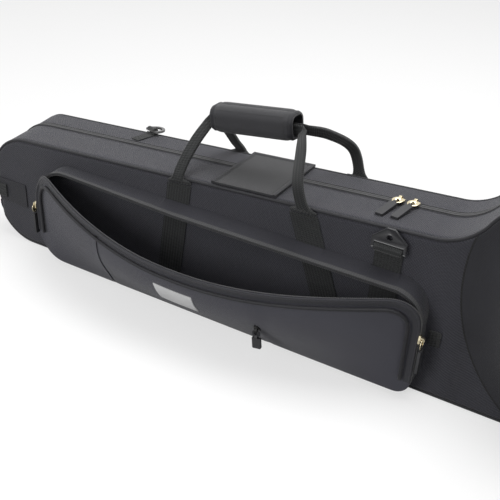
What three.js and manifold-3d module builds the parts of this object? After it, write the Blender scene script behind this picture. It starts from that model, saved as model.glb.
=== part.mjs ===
import * as THREE from 'three';
import Module from 'manifold-3d';
import { mergeVertices } from 'three/addons/utils/BufferGeometryUtils.js';

const wasm = await Module();
wasm.setup();

// Soft-shell trombone case, in millimetres, standing on its long narrow side.
// X runs from the slide end to the bell end, the pocket faces -Y, Z is up.
// While it is built, the zipper plane is y = 0. The last lines move the origin.
const shell = {
  length: 936,
  frontDepth: 70,
  backDepth: 52,
  slideHeight: 180,
  neckHeight: 226,
  wall: 12,
  edgeRadius: 9,
  topCornerFront: 70,
  topCornerBack: 45,
  bottomCorner: 66,
  bellCorner: 42,
  planCorner: 12,
  splitGap: 0.4,
};
const shoulder = { start: 244, rise: 74, hollow: 75, steepest: 62 };
const flare = {
  seamAt: 292,
  seamRadius: 234,
  seamHeight: 195,
  frontRise: 80,
  backRise: 73,
  hollow: 90,
  steepest: 55,
};
const fit = { gap: 0.3, overrun: 4, riseShare: 1.5 };
const lining = { thickness: 4, hingeFront: 8, hingeBack: 12, hingeThickness: 1 };
const zipper = { width: 7, proud: 1.4, endHeight: 60 };
const piping = { radius: 2.4, joint: 0.5, sides: 6 };
const webbing = { width: 38, thickness: 1.8, legThickness: 3, foldedWidth: 15, foldedThickness: 7 };

// Handle: two webbing loops in a padded grip of two half sleeves, above the top face
const handle = {
  gripLength: 124,
  gripCentre: -20,
  gripSide: -12,
  gripHeight: 77,
  gripRadius: 18,
  gripCorner: 13,
  gripTilt: 3.5,
  slotDrop: 5,
  slotPlay: 1,
  frontLeft: -107,
  frontRight: 82,
  backLeft: -86,
  backRight: 102,
  frontLeftBulge: 0,
  frontRightBulge: 10,
  backLeftBulge: -3,
  backRightBulge: 12,
  anchorDrop: 10,
  anchorPlay: 2.4,
  strapBottom: 12,
  frontLeftLean: -7,
  frontRightLean: 20,
  backLean: 5,
  legSteps: 14,
  riseShare: 0.2,
  runShare: 0.6,
  foldShare: 0.35,
  leaveShare: 0.75,
};

// Hook-and-loop flap over the zipper
const closure = { left: -58, right: 40, thickness: 2.4, frontInset: 3, backInset: 3 };

// Pocket on the front face, shown with its flap let out
const pocket = {
  left: -354,
  right: 261,
  bottom: 9.5,
  top: 166,
  topLeftRadius: 58,
  topRightRadius: 42,
  bottomLeftRadius: 46,
  bottomRightRadius: 22,
  depth: 24,
  droop: 9.5,
  droopEnd: -100,
  wall: 2,
  cloth: 2.4,
  bowLow: 46,
  bowHigh: 4,
  bowPower: 2.1,
  bendStart: 45,
  bendEnd: 160,
  bowLeft: 10,
  bowRight: 4,
  tapeWidth: 9,
  tapeThickness: 1.2,
  tapePlay: 0.8,
  bowSteps: 16,
  bowSlices: 12,
  panelRows: 12,
  roofSteps: 18,
  turnSteps: 6,
  panelGap: 0.4,
  slitTop: -180,
  slitBottom: -208,
  edgeTop: 70,
  edgeBottom: 62,
  pipingInset: 13,
};
const plate = { left: -83, length: 61, height: 37, fromTop: 36, thickness: 1.2, rows: 6 };
// Plastic rings for a shoulder strap, the bar of each held in a roll of webbing
const dRing = {
  frontAt: 200,
  frontDrop: 27,
  frontLean: 2.5,
  frontTabBottom: 88,
  tabWidth: 36,
  rollRadius: 5.6,
  rollBore: 3.4,
  rollLift: 0.5,
  width: 45,
  reach: 28,
  legReach: 13,
  apex: 10,
  arm: 4,
  thickness: 3.6,
  slotTop: 6.6,
  eyeAt: 16,
  eyeRadius: 4,
};
const backLoop = {
  at: -237,
  rollAt: 44,
  turn: 17,
  droop: 6,
  tabLength: 34,
  tabWidth: 17,
  radius: 14,
  legReach: 7,
  arm: 4.5,
};

// Zipper slider: a base, a lug with a bore, a wire ring through it and a pull on the ring
const slider = {
  length: 11,
  width: 8.5,
  tail: 5,
  base: 2.4,
  lugRise: 2.4,
  lugRadius: 2.8,
  lugLength: 4,
  bore: 1.6,
};
const zipPull = {
  ringRadius: 7,
  wire: 1,
  length: 36,
  width: 11,
  thickness: 3.6,
  corner: 1.6,
  headPlay: 1.5,
};
const mainZip = { leftAt: 183, rightAt: 203, lean: 12 };
const pocketZip = { leftHeight: 98, rightHeight: 101 };
const flapZip = { heightShare: 0.54, seat: 0.1, ringRadius: 5, length: 18, width: 12 };
const endTab = { left: 266, width: 16, bottom: 80, height: 21, thickness: 3 };

// Grab loop on a sewn patch at the slide end
const endHandle = {
  bottom: 66,
  height: 40,
  patchLength: 66,
  patchThickness: 2.2,
  reach: 26,
  strap: 3,
  inset: 9,
  frontFoot: 26,
  backFoot: 12,
  steps: 12,
};
const rests = {
  width: 44,
  frontLeft: -350,
  frontRight: 150,
  backNeck: -300,
  bell: 262,
  slideTube: 16,
  tubeSpacing: 86,
  neckTube: 24,
  bellTube: 62,
  seatDepthShare: 0.55,
  mouthpieceAt: -80,
  mouthpieceLength: 96,
  mouthpieceHeight: 60,
  mouthpieceBore: 15,
};
const boreSides = 20;
const originSetback = 12;

const half = shell.length / 2;
const slope = (shell.neckHeight - shell.slideHeight) / (shoulder.start + half);
const slopeAngle = Math.atan(slope);
const { clamp, degToRad, lerp, smoothstep } = THREE.MathUtils;

// Colours, roughness and metalness of the finishes
const finish = {
  weave: { color: 0x2b2b2e, roughness: 0.9, metalness: 0 },
  smooth: { color: 0x343437, roughness: 0.62, metalness: 0 },
  webbing: { color: 0x262a28, roughness: 0.85, metalness: 0 },
  plush: { color: 0x1d1d20, roughness: 1, metalness: 0 },
  foam: { color: 0x232326, roughness: 1, metalness: 0 },
  trim: { color: 0x222225, roughness: 0.7, metalness: 0 },
  plastic: { color: 0x2c2e33, roughness: 0.45, metalness: 0 },
  greyPlastic: { color: 0x6c6e71, roughness: 0.45, metalness: 0 },
  rubber: { color: 0x2a2b2e, roughness: 0.55, metalness: 0 },
  gold: { color: 0xd9c69a, roughness: 0.28, metalness: 1 },
  steel: { color: 0xc3c3c6, roughness: 0.35, metalness: 1 },
};

// Solids: closed meshes go in, joined or cut ones come out
function toSolid(geometry) {
  const bare = geometry.clone();
  bare.deleteAttribute('normal');
  bare.deleteAttribute('uv');
  const merged = mergeVertices(bare);
  const index = merged.index.array;
  const triVerts = new Uint32Array(index.length);
  triVerts.set(index);
  const vertProperties = Float32Array.from(merged.attributes.position.array);
  return new wasm.Manifold(new wasm.Mesh({ numProp: 3, vertProperties, triVerts }));
}

function toGeometry(solid) {
  const mesh = solid.getMesh();
  const geometry = new THREE.BufferGeometry();
  geometry.setAttribute('position', new THREE.BufferAttribute(Float32Array.from(mesh.vertProperties), 3));
  geometry.setIndex(new THREE.BufferAttribute(Uint32Array.from(mesh.triVerts), 1));
  geometry.computeVertexNormals();
  return geometry;
}

function boxBetween(low, high) {
  const size = new THREE.Vector3().subVectors(high, low);
  const geometry = new THREE.BoxGeometry(size.x, size.y, size.z);
  geometry.translate((low.x + high.x) / 2, (low.y + high.y) / 2, (low.z + high.z) / 2);
  return geometry;
}

const point = (x, y, z) => new THREE.Vector3(x, y, z);
const boxSolid = (low, high) => toSolid(boxBetween(low, high));

// A box whose corners and inner lines are moved to where place says
function warpedBox(along, across, place) {
  const geometry = new THREE.BoxGeometry(1, 1, 1, along, across, 1);
  const position = geometry.attributes.position;
  for (let i = 0; i < position.count; i += 1) {
    const moved = place(position.getX(i) + 0.5, position.getY(i) + 0.5, position.getZ(i) + 0.5);
    position.setXYZ(i, moved.x, moved.y, moved.z);
  }
  geometry.computeVertexNormals();
  return geometry;
}

// A closed skin through rings of equal count, with a flat fan on each end
function loft(rings) {
  const count = rings[0].length;
  const corners = rings.flat();
  const centres = [rings[0], rings[rings.length - 1]].map((ring) => {
    const middle = point(0, 0, 0);
    ring.forEach((corner) => middle.addScaledVector(corner, 1 / count));
    return middle;
  });
  const first = corners.length;
  corners.push(...centres);
  const faces = [];
  for (let j = 0; j < count; j += 1) {
    const next = (j + 1) % count;
    for (let i = 0; i + 1 < rings.length; i += 1) {
      const a = i * count;
      const b = a + count;
      faces.push(a + j, b + next, a + next, a + j, b + j, b + next);
    }
    const last = (rings.length - 1) * count;
    faces.push(first, j, next, first + 1, last + next, last + j);
  }
  const geometry = new THREE.BufferGeometry();
  const numbers = corners.flatMap((p) => [p.x, p.y, p.z]);
  geometry.setAttribute('position', new THREE.Float32BufferAttribute(numbers, 3));
  geometry.setIndex(faces);
  return geometry;
}

// How far a rounded corner draws in, at a reach from the end that it rounds
function cornerInset(reach, radius) {
  if (reach >= radius) return 0;
  return radius - Math.sqrt(radius ** 2 - (radius - Math.max(reach, 0)) ** 2);
}

// An S-shaped rise: a hollow arc, then a crowned one
function swell(run, rise, hollow, steepest) {
  if (run <= 0) return 0;
  const turn = degToRad(steepest);
  const crown = rise / (1 - Math.cos(turn)) - hollow;
  const end = (hollow + crown) * Math.sin(turn);
  if (run >= end) return rise;
  if (run <= hollow * Math.sin(turn)) return hollow - Math.sqrt(hollow ** 2 - run ** 2);
  return rise - (crown - Math.sqrt(crown ** 2 - (end - run) ** 2));
}

function topAt(x) {
  const lower = shell.slideHeight + slope * (Math.min(x, shoulder.start) + half);
  return lower + swell(x - shoulder.start, shoulder.rise, shoulder.hollow, shoulder.steepest);
}

function seamAt(z) {
  const away = Math.min(Math.abs(z - flare.seamHeight), flare.seamRadius);
  return flare.seamAt + flare.seamRadius - Math.sqrt(flare.seamRadius ** 2 - away ** 2);
}

function sideAt(x, z, depth, rise) {
  return depth + swell(x - seamAt(z), rise, flare.hollow, flare.steepest);
}

// One ring of the padded shell's surface at x, drawn in by inset
function shellRing(x, inset, detail) {
  const left = x + half - inset;
  const right = half - inset - x;
  const bellInset = cornerInset(right, shell.bellCorner - inset);
  const topWith = (corner) => topAt(x) - inset - cornerInset(left, corner - inset) - bellInset;
  const bottom = inset + cornerInset(left, shell.bottomCorner - inset) + bellInset;
  const plan = cornerInset(left, shell.planCorner - inset) + cornerInset(right, shell.planCorner - inset);
  const radius = Math.max(shell.edgeRadius - inset, shell.edgeRadius / 3);
  const front = (z) => -sideAt(x, z, shell.frontDepth, flare.frontRise) + inset + plan;
  const back = (z) => sideAt(x, z, shell.backDepth, flare.backRise) - inset - plan;
  const ring = [];
  const frontHigh = topWith(shell.topCornerFront) - radius;
  const backHigh = topWith(shell.topCornerBack) - radius;
  const low = bottom + radius;
  const addCorner = (y, z, from) => {
    for (let i = 0; i <= detail.arc; i += 1) {
      const angle = degToRad(from - (90 * i) / detail.arc);
      ring.push(point(x, y + radius * Math.cos(angle), z + radius * Math.sin(angle)));
    }
  };
  addCorner(front(low) + radius, low, 270);
  for (let i = 1; i < detail.side; i += 1) {
    const z = lerp(low, frontHigh, i / detail.side);
    ring.push(point(x, front(z), z));
  }
  addCorner(front(frontHigh) + radius, frontHigh, 180);
  addCorner(back(backHigh) - radius, backHigh, 90);
  for (let i = 1; i < detail.side; i += 1) {
    const z = lerp(backHigh, low, i / detail.side);
    ring.push(point(x, back(z), z));
  }
  addCorner(back(low) - radius, low, 0);
  return ring;
}

function shellStations(inset, detail) {
  const stations = [];
  const roundEnd = Math.max(shell.topCornerFront, shell.bottomCorner) - inset;
  for (let i = 0; i <= detail.end; i += 1) {
    stations.push(inset - half + roundEnd * (1 - Math.cos((Math.PI * i) / (2 * detail.end))));
  }
  const bellEnd = half - shell.bellCorner;
  for (let i = 0; i <= detail.shoulder; i += 1) {
    stations.push(lerp(shoulder.start, bellEnd, i / detail.shoulder));
  }
  const bellRound = shell.bellCorner - inset;
  for (let i = 1; i <= detail.bell; i += 1) {
    stations.push(bellEnd + bellRound * Math.sin((Math.PI * i) / (2 * detail.bell)));
  }
  return stations;
}

const fine = { arc: 3, side: 6, end: 8, shoulder: 14, bell: 4 };
const coarse = { arc: 2, side: 4, end: 5, shoulder: 8, bell: 3 };

function skinGeometry(inset, detail) {
  return loft(shellStations(inset, detail).map((x) => shellRing(x, inset, detail)));
}

const skin = (inset, detail) => toSolid(skinGeometry(inset, detail));

// The same skin with its surface moved out by grow, more so where it is high and slanted
function grownSkin(inset, detail, grow) {
  const geometry = skinGeometry(inset, detail);
  const middle = point(0, (shell.backDepth - shell.frontDepth) / 2, shell.slideHeight / 2);
  const reach = point(half, (shell.backDepth + shell.frontDepth) / 2 - inset, shell.slideHeight / 2 - inset);
  const { position } = geometry.attributes;
  const spot = new THREE.Vector3();
  for (let i = 0; i < position.count; i += 1) {
    spot.fromBufferAttribute(position, i);
    const away = spot.clone().sub(middle).divide(reach);
    const up = 2 * Math.min(away.z, fit.riseShare);
    spot.add(point(away.x, away.y, up).multiplyScalar(grow));
    position.setXYZ(i, spot.x, spot.y, spot.z);
  }
  return toSolid(geometry);
}

// Everything on one side of the zipper plane, or a slab of it
const far = shell.length;
const frontSide = (reach) => boxSolid(point(-far, -far, -far), point(far, reach, far));
const backSide = (reach) => boxSolid(point(-far, reach, -far), point(far, far, far));
const splitHalf = shell.splitGap / 2;
const outer = skin(0, fine);
const cavity = skin(shell.wall, coarse);
const shellWall = outer.subtract(cavity);
const frontShell = toGeometry(shellWall.intersect(frontSide(-splitHalf)));
const backShell = toGeometry(shellWall.intersect(backSide(splitHalf)));

// Thin plush lining on the inside of each half, clear of the cloth hinge
const liningInner = shell.wall + lining.thickness;
const liningWall = grownSkin(shell.wall, coarse, -fit.gap).subtract(skin(liningInner, coarse));
const hingeRoom = boxSolid(
  point(-far, -lining.hingeFront - fit.gap, 0),
  point(far, lining.hingeBack + fit.gap, liningInner + fit.gap),
);
const liningAll = liningWall.subtract(hingeRoom);
const frontLining = toGeometry(liningAll.intersect(frontSide(-splitHalf)));
const backLining = toGeometry(liningAll.intersect(backSide(splitHalf)));
const liningRoom = grownSkin(liningInner, coarse, -fit.gap);

// Cloth hinge along the bottom, inside the case
const hingeEnd = half - Math.max(shell.topCornerFront, shell.bellCorner);
const hingeGusset = boxBetween(
  point(-hingeEnd, -lining.hingeFront, shell.wall + fit.gap),
  point(hingeEnd, lining.hingeBack, shell.wall + fit.gap + lining.hingeThickness),
);

// Main zipper: a tape half on each shell, over both ends and the top
const clearOfShell = grownSkin(0, fine, fit.gap);
const zipperBand = skin(-zipper.proud, fine).subtract(clearOfShell);
function zipperHalf(low, high) {
  const slab = boxSolid(point(-far, low, zipper.endHeight), point(far, high, far));
  return toGeometry(zipperBand.intersect(slab));
}
const frontTape = zipperHalf(-zipper.width, -splitHalf);
const backTape = zipperHalf(splitHalf, zipper.width);

// A cord of round section through chosen points, its rings square to the run
function cordAlong(points, radius) {
  const rings = points.map((spot, i) => {
    const before = points[Math.max(i - 1, 0)];
    const after = points[Math.min(i + 1, points.length - 1)];
    const along = point(0, 0, 0).subVectors(after, before).normalize();
    const sideways = point(0, 1, 0).addScaledVector(along, -along.y).normalize();
    const upwards = point(0, 0, 0).crossVectors(sideways, along);
    const ring = [];
    for (let j = 0; j < piping.sides; j += 1) {
      const angle = (2 * Math.PI * j) / piping.sides;
      const corner = spot.clone().addScaledVector(sideways, radius * Math.cos(angle));
      ring.push(corner.addScaledVector(upwards, radius * Math.sin(angle)));
    }
    return ring;
  });
  return loft(rings);
}

// Piping cord on the edge between a face and the band. Its open ends meet under the case,
// or, where a patch is sewn over the slide end, above and below the patch.
function edgeCord(side, patch) {
  const detail = { ...fine, arc: 2 };
  const bevel = shell.planCorner * (1 - Math.SQRT1_2);
  const ends = [bevel - half, half - bevel];
  const stations = shellStations(0, detail).filter((x) => x > ends[0] + bevel && x < ends[1] - bevel);
  const turn = detail.arc;
  const frontCorners = [turn / 2, turn + detail.side + turn / 2];
  const backCorners = [3 * turn + 2 * detail.side + turn / 2 + 1, 2 * turn + detail.side + turn / 2 + 1];
  const [low, high] = side < 0 ? frontCorners : backCorners;
  const faceRun = (x) => {
    const run = shellRing(x, 0, detail).slice(Math.min(low, high), Math.max(low, high) + 1);
    return low < high ? run : run.reverse();
  };
  const cornerAt = (x, index) => shellRing(x, 0, detail)[index];
  const under = [...stations].reverse();
  const endRun = faceRun(ends[0]);
  const over = [...stations.map((x) => cornerAt(x, high)), ...faceRun(ends[1]).reverse()];
  const atHeight = (z) => point(ends[0], endRun[1].y, z);
  const path = patch
    ? [
      atHeight(patch.top),
      ...endRun.filter((spot) => spot.z > patch.top + piping.radius),
      ...over,
      ...under.map((x) => cornerAt(x, low)),
      ...endRun.filter((spot) => spot.z < patch.bottom - piping.radius),
      atHeight(patch.bottom),
    ]
    : [
      cornerAt(-piping.joint, low),
      ...under.filter((x) => x < -piping.joint).map((x) => cornerAt(x, low)),
      ...endRun,
      ...over,
      ...under.filter((x) => x > 0).map((x) => cornerAt(x, low)),
      cornerAt(0, low),
    ];
  return toGeometry(toSolid(cordAlong(path, piping.radius)).subtract(clearOfShell));
}

const model = new THREE.Group();
const caseFrame = new THREE.Group();
model.add(caseFrame);

function addPiece(name, geometry, look, parent = caseFrame) {
  const mesh = new THREE.Mesh(geometry, new THREE.MeshStandardMaterial(look));
  mesh.name = name;
  parent.add(mesh);
  return mesh;
}

addPiece('front_shell', frontShell, finish.weave);
addPiece('back_shell', backShell, finish.weave);
addPiece('front_lining', frontLining, finish.plush);
addPiece('back_lining', backLining, finish.plush);
addPiece('hinge_gusset', hingeGusset, finish.trim);
addPiece('front_zipper_tape', frontTape, finish.trim);
addPiece('back_zipper_tape', backTape, finish.trim);
const patchEnds = { bottom: endHandle.bottom - fit.gap, top: endHandle.bottom + endHandle.height + fit.gap };
addPiece('front_piping', edgeCord(-1, patchEnds), finish.trim);
addPiece('back_piping', edgeCord(1), finish.trim);

// Patch of heavy weave sewn around the slide end's front corner
const patchSlab = boxSolid(
  point(-far, -far, endHandle.bottom),
  point(endHandle.patchLength - half, -zipper.width - 2 * fit.gap, endHandle.bottom + endHandle.height),
);
const patchBand = skin(-endHandle.patchThickness, fine).subtract(clearOfShell);
addPiece('end_handle_patch', toGeometry(patchBand.intersect(patchSlab)), finish.weave);

// The run's direction at one of its spots
function directionAt(spots, i) {
  const after = spots[Math.min(i + 1, spots.length - 1)];
  return after.clone().sub(spots[Math.max(i - 1, 0)]).normalize();
}

// Webbing bent in one plane: its centre line runs through spots, its width lies along across
function bentStrap(spots, across, width, thickness) {
  const last = spots.length - 1;
  return warpedBox(last, 1, (u, s, n) => {
    const i = Math.round(u * last);
    const along = directionAt(spots, i);
    const outward = point(0, 0, 0).crossVectors(along, across);
    const place = spots[i].clone().addScaledVector(across, (s - 0.5) * width);
    return place.addScaledVector(outward, (n - 0.5) * thickness);
  });
}

// Grab loop, from a foot on the front face round the corner to a foot on the end face
const strapLift = endHandle.patchThickness + fit.gap + endHandle.strap / 2;
const frontRow = -shell.frontDepth - strapLift;
const endRow = -half - strapLift;
const loopOut = -half - endHandle.reach;
const loopLevel = endHandle.bottom + endHandle.height / 2;
const backFootEnd = -zipper.width - endHandle.strap;
const loopCurve = new THREE.CatmullRomCurve3([
  point(shell.planCorner - half, frontRow, loopLevel),
  point((loopOut - half) / 2, frontRow, loopLevel),
  point(loopOut, frontRow + endHandle.reach, loopLevel),
  point(loopOut, backFootEnd - endHandle.reach, loopLevel),
  point(endRow, backFootEnd - endHandle.backFoot, loopLevel),
], false, 'centripetal');
const loopSpots = [
  point(endHandle.frontFoot - half, frontRow, loopLevel),
  ...loopCurve.getPoints(endHandle.steps),
  point(endRow, backFootEnd, loopLevel),
];
const loopWidth = endHandle.height - 2 * endHandle.inset;
addPiece('end_handle', bentStrap(loopSpots, point(0, 0, 1), loopWidth, endHandle.strap), finish.webbing);

// Foam rests inside, each with a round seat cut into the side that faces the zipper plane
function foamRest(x, outerDepth, side, tubes) {
  const body = boxSolid(
    point(x - rests.width / 2, side > 0 ? splitHalf : -outerDepth, 0),
    point(x + rests.width / 2, side > 0 ? outerDepth : -splitHalf, topAt(x)),
  ).intersect(liningRoom);
  const middle = topAt(x) / 2;
  return tubes.reduce((left, tube) => {
    const reach = rests.width + 2 * fit.overrun;
    const bore = new THREE.CylinderGeometry(tube.radius, tube.radius, reach, boreSides);
    bore.rotateZ(Math.PI / 2);
    bore.translate(x, side * tube.away, middle + tube.offset);
    return left.subtract(toSolid(bore));
  }, body);
}

const slidePair = [-1, 1].map((way) => ({
  radius: rests.slideTube,
  away: rests.slideTube * rests.seatDepthShare,
  offset: (way * rests.tubeSpacing) / 2,
}));
const neckSeat = [{ radius: rests.neckTube, away: 0, offset: 0 }];
const bellSeat = [{ radius: rests.bellTube, away: -rests.bellTube / 2, offset: 0 }];
const slideRest = (x) => toGeometry(foamRest(x, shell.frontDepth, -1, slidePair));
addPiece('slide_rest_left', slideRest(rests.frontLeft), finish.foam);
addPiece('slide_rest_right', slideRest(rests.frontRight), finish.foam);
addPiece('neck_rest', toGeometry(foamRest(rests.backNeck, shell.backDepth, 1, neckSeat)), finish.foam);
addPiece('bell_rest', toGeometry(foamRest(rests.bell, shell.backDepth, 1, bellSeat)), finish.foam);

// Mouthpiece block on the floor of the back half, with its bore open to the zipper plane
const blockLow = liningInner;
const { mouthpieceBore: boreRadius, mouthpieceLength: blockLength } = rests;
const mouthBore = new THREE.CylinderGeometry(boreRadius, boreRadius, blockLength / 2, boreSides);
mouthBore.rotateZ(Math.PI / 2);
const boreAt = rests.mouthpieceAt + blockLength / 4 + fit.overrun;
mouthBore.translate(boreAt, splitHalf, blockLow + rests.mouthpieceHeight / 2);
const mouthBlock = boxSolid(
  point(rests.mouthpieceAt - blockLength / 2, splitHalf, blockLow),
  point(rests.mouthpieceAt + blockLength / 2, shell.backDepth, blockLow + rests.mouthpieceHeight),
).intersect(liningRoom).subtract(toSolid(mouthBore));
addPiece('mouthpiece_block', toGeometry(mouthBlock), finish.foam);

// Flat webbing sewn down a face, leaning out as it goes down
function faceStrap({ x, lean, side, near, thickness, top, bottom, width }) {
  const spread = Math.tan(degToRad(lean));
  const level = width / Math.cos(degToRad(lean));
  return warpedBox(1, 1, (u, s, n) => {
    const across = (u - 0.5) * level * -side;
    const z = lerp(bottom, top + slope * across, s);
    return point(x + across + spread * (top - z), side * (near + n * thickness), z);
  });
}

const strapTop = (x) => topAt(x) - handle.anchorDrop;
const frontStraps = [
  { name: 'front_strap_left', x: handle.frontLeft, lean: handle.frontLeftLean },
  { name: 'front_strap_right', x: handle.frontRight, lean: handle.frontRightLean },
];
const backStraps = [
  { name: 'back_strap_left', x: handle.backLeft, lean: -handle.backLean },
  { name: 'back_strap_right', x: handle.backRight, lean: handle.backLean },
];
const sewn = { thickness: webbing.thickness, width: webbing.width, bottom: handle.strapBottom };
frontStraps.forEach(({ name, x, lean }) => {
  const near = shell.frontDepth + fit.gap;
  const strap = faceStrap({ ...sewn, x, lean, side: -1, near, top: strapTop(x) });
  addPiece(name, strap, finish.webbing);
});
backStraps.forEach(({ name, x, lean }) => {
  const near = shell.backDepth + fit.gap;
  const strap = faceStrap({ ...sewn, x, lean, side: 1, near, top: strapTop(x) });
  addPiece(name, strap, finish.webbing);
});

// The top face slopes, so its pieces stand in a group that lies in it
const topFace = new THREE.Group();
topFace.position.z = topAt(0);
topFace.rotation.y = -slopeAngle;
caseFrame.add(topFace);

// Webbing swept through chosen spots, its flat side turned towards facing
function sweptWebbing(spots, facing, sizes) {
  const last = spots.length - 1;
  return warpedBox(last, 1, (u, s, n) => {
    const i = Math.round(u * last);
    const along = directionAt(spots, i);
    const outward = facing.clone().addScaledVector(along, -facing.dot(along)).normalize();
    const across = point(0, 0, 0).crossVectors(outward, along);
    const { width, thickness } = sizes(i / last);
    const place = spots[i].clone().addScaledVector(across, (s - 0.5) * width);
    return place.addScaledVector(outward, (n - 0.5) * thickness);
  });
}

// A spot in the tilted grip: along its length and up from its middle line
function gripSpot(along, up, side) {
  const tilt = degToRad(handle.gripTilt);
  const plane = handle.gripSide + side * (webbing.legThickness / 2 + fit.gap + handle.slotPlay);
  return point(
    handle.gripCentre + along * Math.cos(tilt) - up * Math.sin(tilt),
    plane,
    handle.gripHeight + along * Math.sin(tilt) + up * Math.cos(tilt),
  );
}

// One leg of a handle loop, from its anchor over the edge of the top face to the grip
function handleLeg({ anchorX, bulge, side, depth }) {
  const edge = side * (depth + fit.gap + webbing.legThickness / 2);
  const clear = piping.radius + webbing.legThickness;
  const sign = anchorX < handle.gripCentre ? -1 : 1;
  const mouth = gripSpot((sign * handle.gripLength) / 2, -handle.slotDrop, side);
  const hold = gripSpot((sign * (handle.gripLength + webbing.foldedWidth)) / 2, -handle.slotDrop, side);
  const top = point(anchorX, edge, 0);
  const between = (share, out, up) => {
    const spot = point(0, 0, 0).lerpVectors(top, hold, share);
    return point(spot.x, spot.y + side * out, spot.z + up);
  };
  const foot = point(anchorX, edge, handle.anchorPlay - handle.anchorDrop);
  const points = [
    point(anchorX, edge, 2 * handle.anchorPlay - handle.anchorDrop),
    between(0, clear / 2, 0),
    between(handle.riseShare, clear + bulge, clear + bulge),
    between(handle.runShare, clear, clear + bulge),
    hold,
  ];
  const curve = new THREE.CatmullRomCurve3(points, false, 'centripetal');
  return [foot, ...curve.getPoints(handle.legSteps), mouth];
}

function handleLoop(left, right, grow) {
  const { side } = left;
  const spots = [...handleLeg(left), ...handleLeg(right).reverse()];
  const { foldShare, leaveShare } = handle;
  return sweptWebbing(spots, point(0, side, 0), (share) => {
    const nearest = 2 * Math.min(share, 1 - share);
    const folded = Math.min(nearest / foldShare, 1);
    const inGrip = THREE.MathUtils.smoothstep(nearest, leaveShare, 1 - leaveShare / handle.legSteps);
    const thick = lerp(webbing.legThickness, webbing.foldedThickness, folded * (1 - inGrip));
    return { width: lerp(webbing.width, webbing.foldedWidth, folded) + grow, thickness: thick + grow };
  });
}

const frontLegs = { side: -1, depth: shell.frontDepth };
const backLegs = { side: 1, depth: shell.backDepth };
const frontLoop = (grow) => handleLoop(
  { ...frontLegs, anchorX: handle.frontLeft, bulge: handle.frontLeftBulge },
  { ...frontLegs, anchorX: handle.frontRight, bulge: handle.frontRightBulge },
  grow,
);
const backLoopWebbing = (grow) => handleLoop(
  { ...backLegs, anchorX: handle.backLeft, bulge: handle.backLeftBulge },
  { ...backLegs, anchorX: handle.backRight, bulge: handle.backRightBulge },
  grow,
);
addPiece('front_handle_loop', frontLoop(0), finish.webbing, topFace);
addPiece('back_handle_loop', backLoopWebbing(0), finish.webbing, topFace);

// A padded half sleeve, split in the plane where the two loops meet
function gripHalf(side) {
  const radius = handle.gripRadius;
  const corner = handle.gripCorner;
  const outline = new THREE.Shape();
  outline.moveTo(fit.gap / 2, -radius);
  outline.absarc(radius - corner, corner - radius, corner, -Math.PI / 2, 0, false);
  outline.absarc(radius - corner, radius - corner, corner, 0, Math.PI / 2, false);
  outline.lineTo(fit.gap / 2, radius);
  outline.closePath();
  const depth = handle.gripLength;
  const sleeve = new THREE.ExtrudeGeometry(outline, { depth, bevelEnabled: false, curveSegments: 5 });
  sleeve.translate(0, 0, -depth / 2);
  sleeve.rotateX(Math.PI / 2);
  sleeve.rotateZ(side > 0 ? Math.PI / 2 : -Math.PI / 2);
  sleeve.rotateY(-degToRad(handle.gripTilt));
  sleeve.translate(handle.gripCentre, handle.gripSide, handle.gripHeight);
  const slotHalf = webbing.legThickness / 2 + fit.gap;
  const slotHeight = webbing.foldedWidth / 2 + fit.gap;
  const slot = warpedBox(1, 1, (u, s, n) => (
    gripSpot((2 * u - 1) * depth, lerp(-slotHeight, slotHeight, n) - handle.slotDrop, side)
      .add(point(0, lerp(-slotHalf, slotHalf, s), 0))
  ));
  const webbingRoom = toSolid(side < 0 ? frontLoop(2 * fit.gap) : backLoopWebbing(2 * fit.gap));
  return toGeometry(toSolid(sleeve).subtract(toSolid(slot)).subtract(webbingRoom));
}

addPiece('grip_front_half', gripHalf(-1), finish.smooth, topFace);
addPiece('grip_back_half', gripHalf(1), finish.smooth, topFace);

// Flap that lies over the zipper, on both tapes
const closureLow = zipper.proud + fit.gap;
const closureFlap = boxBetween(
  point(closure.left, closure.frontInset - shell.frontDepth, closureLow),
  point(closure.right, shell.backDepth - closure.backInset, closureLow + closure.thickness),
);
addPiece('closure_flap', closureFlap, finish.weave, topFace);

// Pocket outline: its floor and roof at x, drawn in by inset. The roof droops towards the mouth.
function pocketSpan(x, inset, mouthShare) {
  const left = x - pocket.left - inset;
  const right = pocket.right - inset - x;
  const droop = pocket.droop * clamp((x - pocket.left) / (pocket.droopEnd - pocket.left), 0, 1);
  const roof = pocket.top - inset - droop * mouthShare;
  const ease = (radius) => Math.max(radius - inset, inset);
  return {
    low: pocket.bottom + inset + cornerInset(left, ease(pocket.bottomLeftRadius))
      + cornerInset(right, ease(pocket.bottomRightRadius)),
    high: roof - cornerInset(left, ease(pocket.topLeftRadius))
      - cornerInset(right, ease(pocket.topRightRadius)),
  };
}

function pocketStations(inset, between = 0) {
  const stations = [];
  const reachLeft = Math.max(pocket.topLeftRadius, pocket.bottomLeftRadius) - inset;
  const reachRight = Math.max(pocket.topRightRadius, pocket.bottomRightRadius) - inset;
  for (let i = 0; i <= pocket.turnSteps; i += 1) {
    stations.push(pocket.left + inset + reachLeft * (1 - Math.cos((Math.PI * i) / (2 * pocket.turnSteps))));
  }
  for (let i = 1; i < between; i += 1) {
    stations.push(lerp(pocket.left + inset + reachLeft, pocket.right - inset - reachRight, i / between));
  }
  for (let i = 0; i <= pocket.turnSteps; i += 1) {
    const turn = (Math.PI * i) / (2 * pocket.turnSteps);
    stations.push(pocket.right - inset - reachRight * (1 - Math.sin(turn)));
  }
  return stations;
}

function pocketRing(y, inset, mouthShare) {
  const stations = pocketStations(inset, pocket.roofSteps);
  const roof = stations.map((x) => point(x, y, pocketSpan(x, inset, mouthShare).high));
  const floor = stations.map((x) => point(x, y, pocketSpan(x, inset, mouthShare).low)).reverse();
  return [...roof, ...floor];
}

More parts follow.
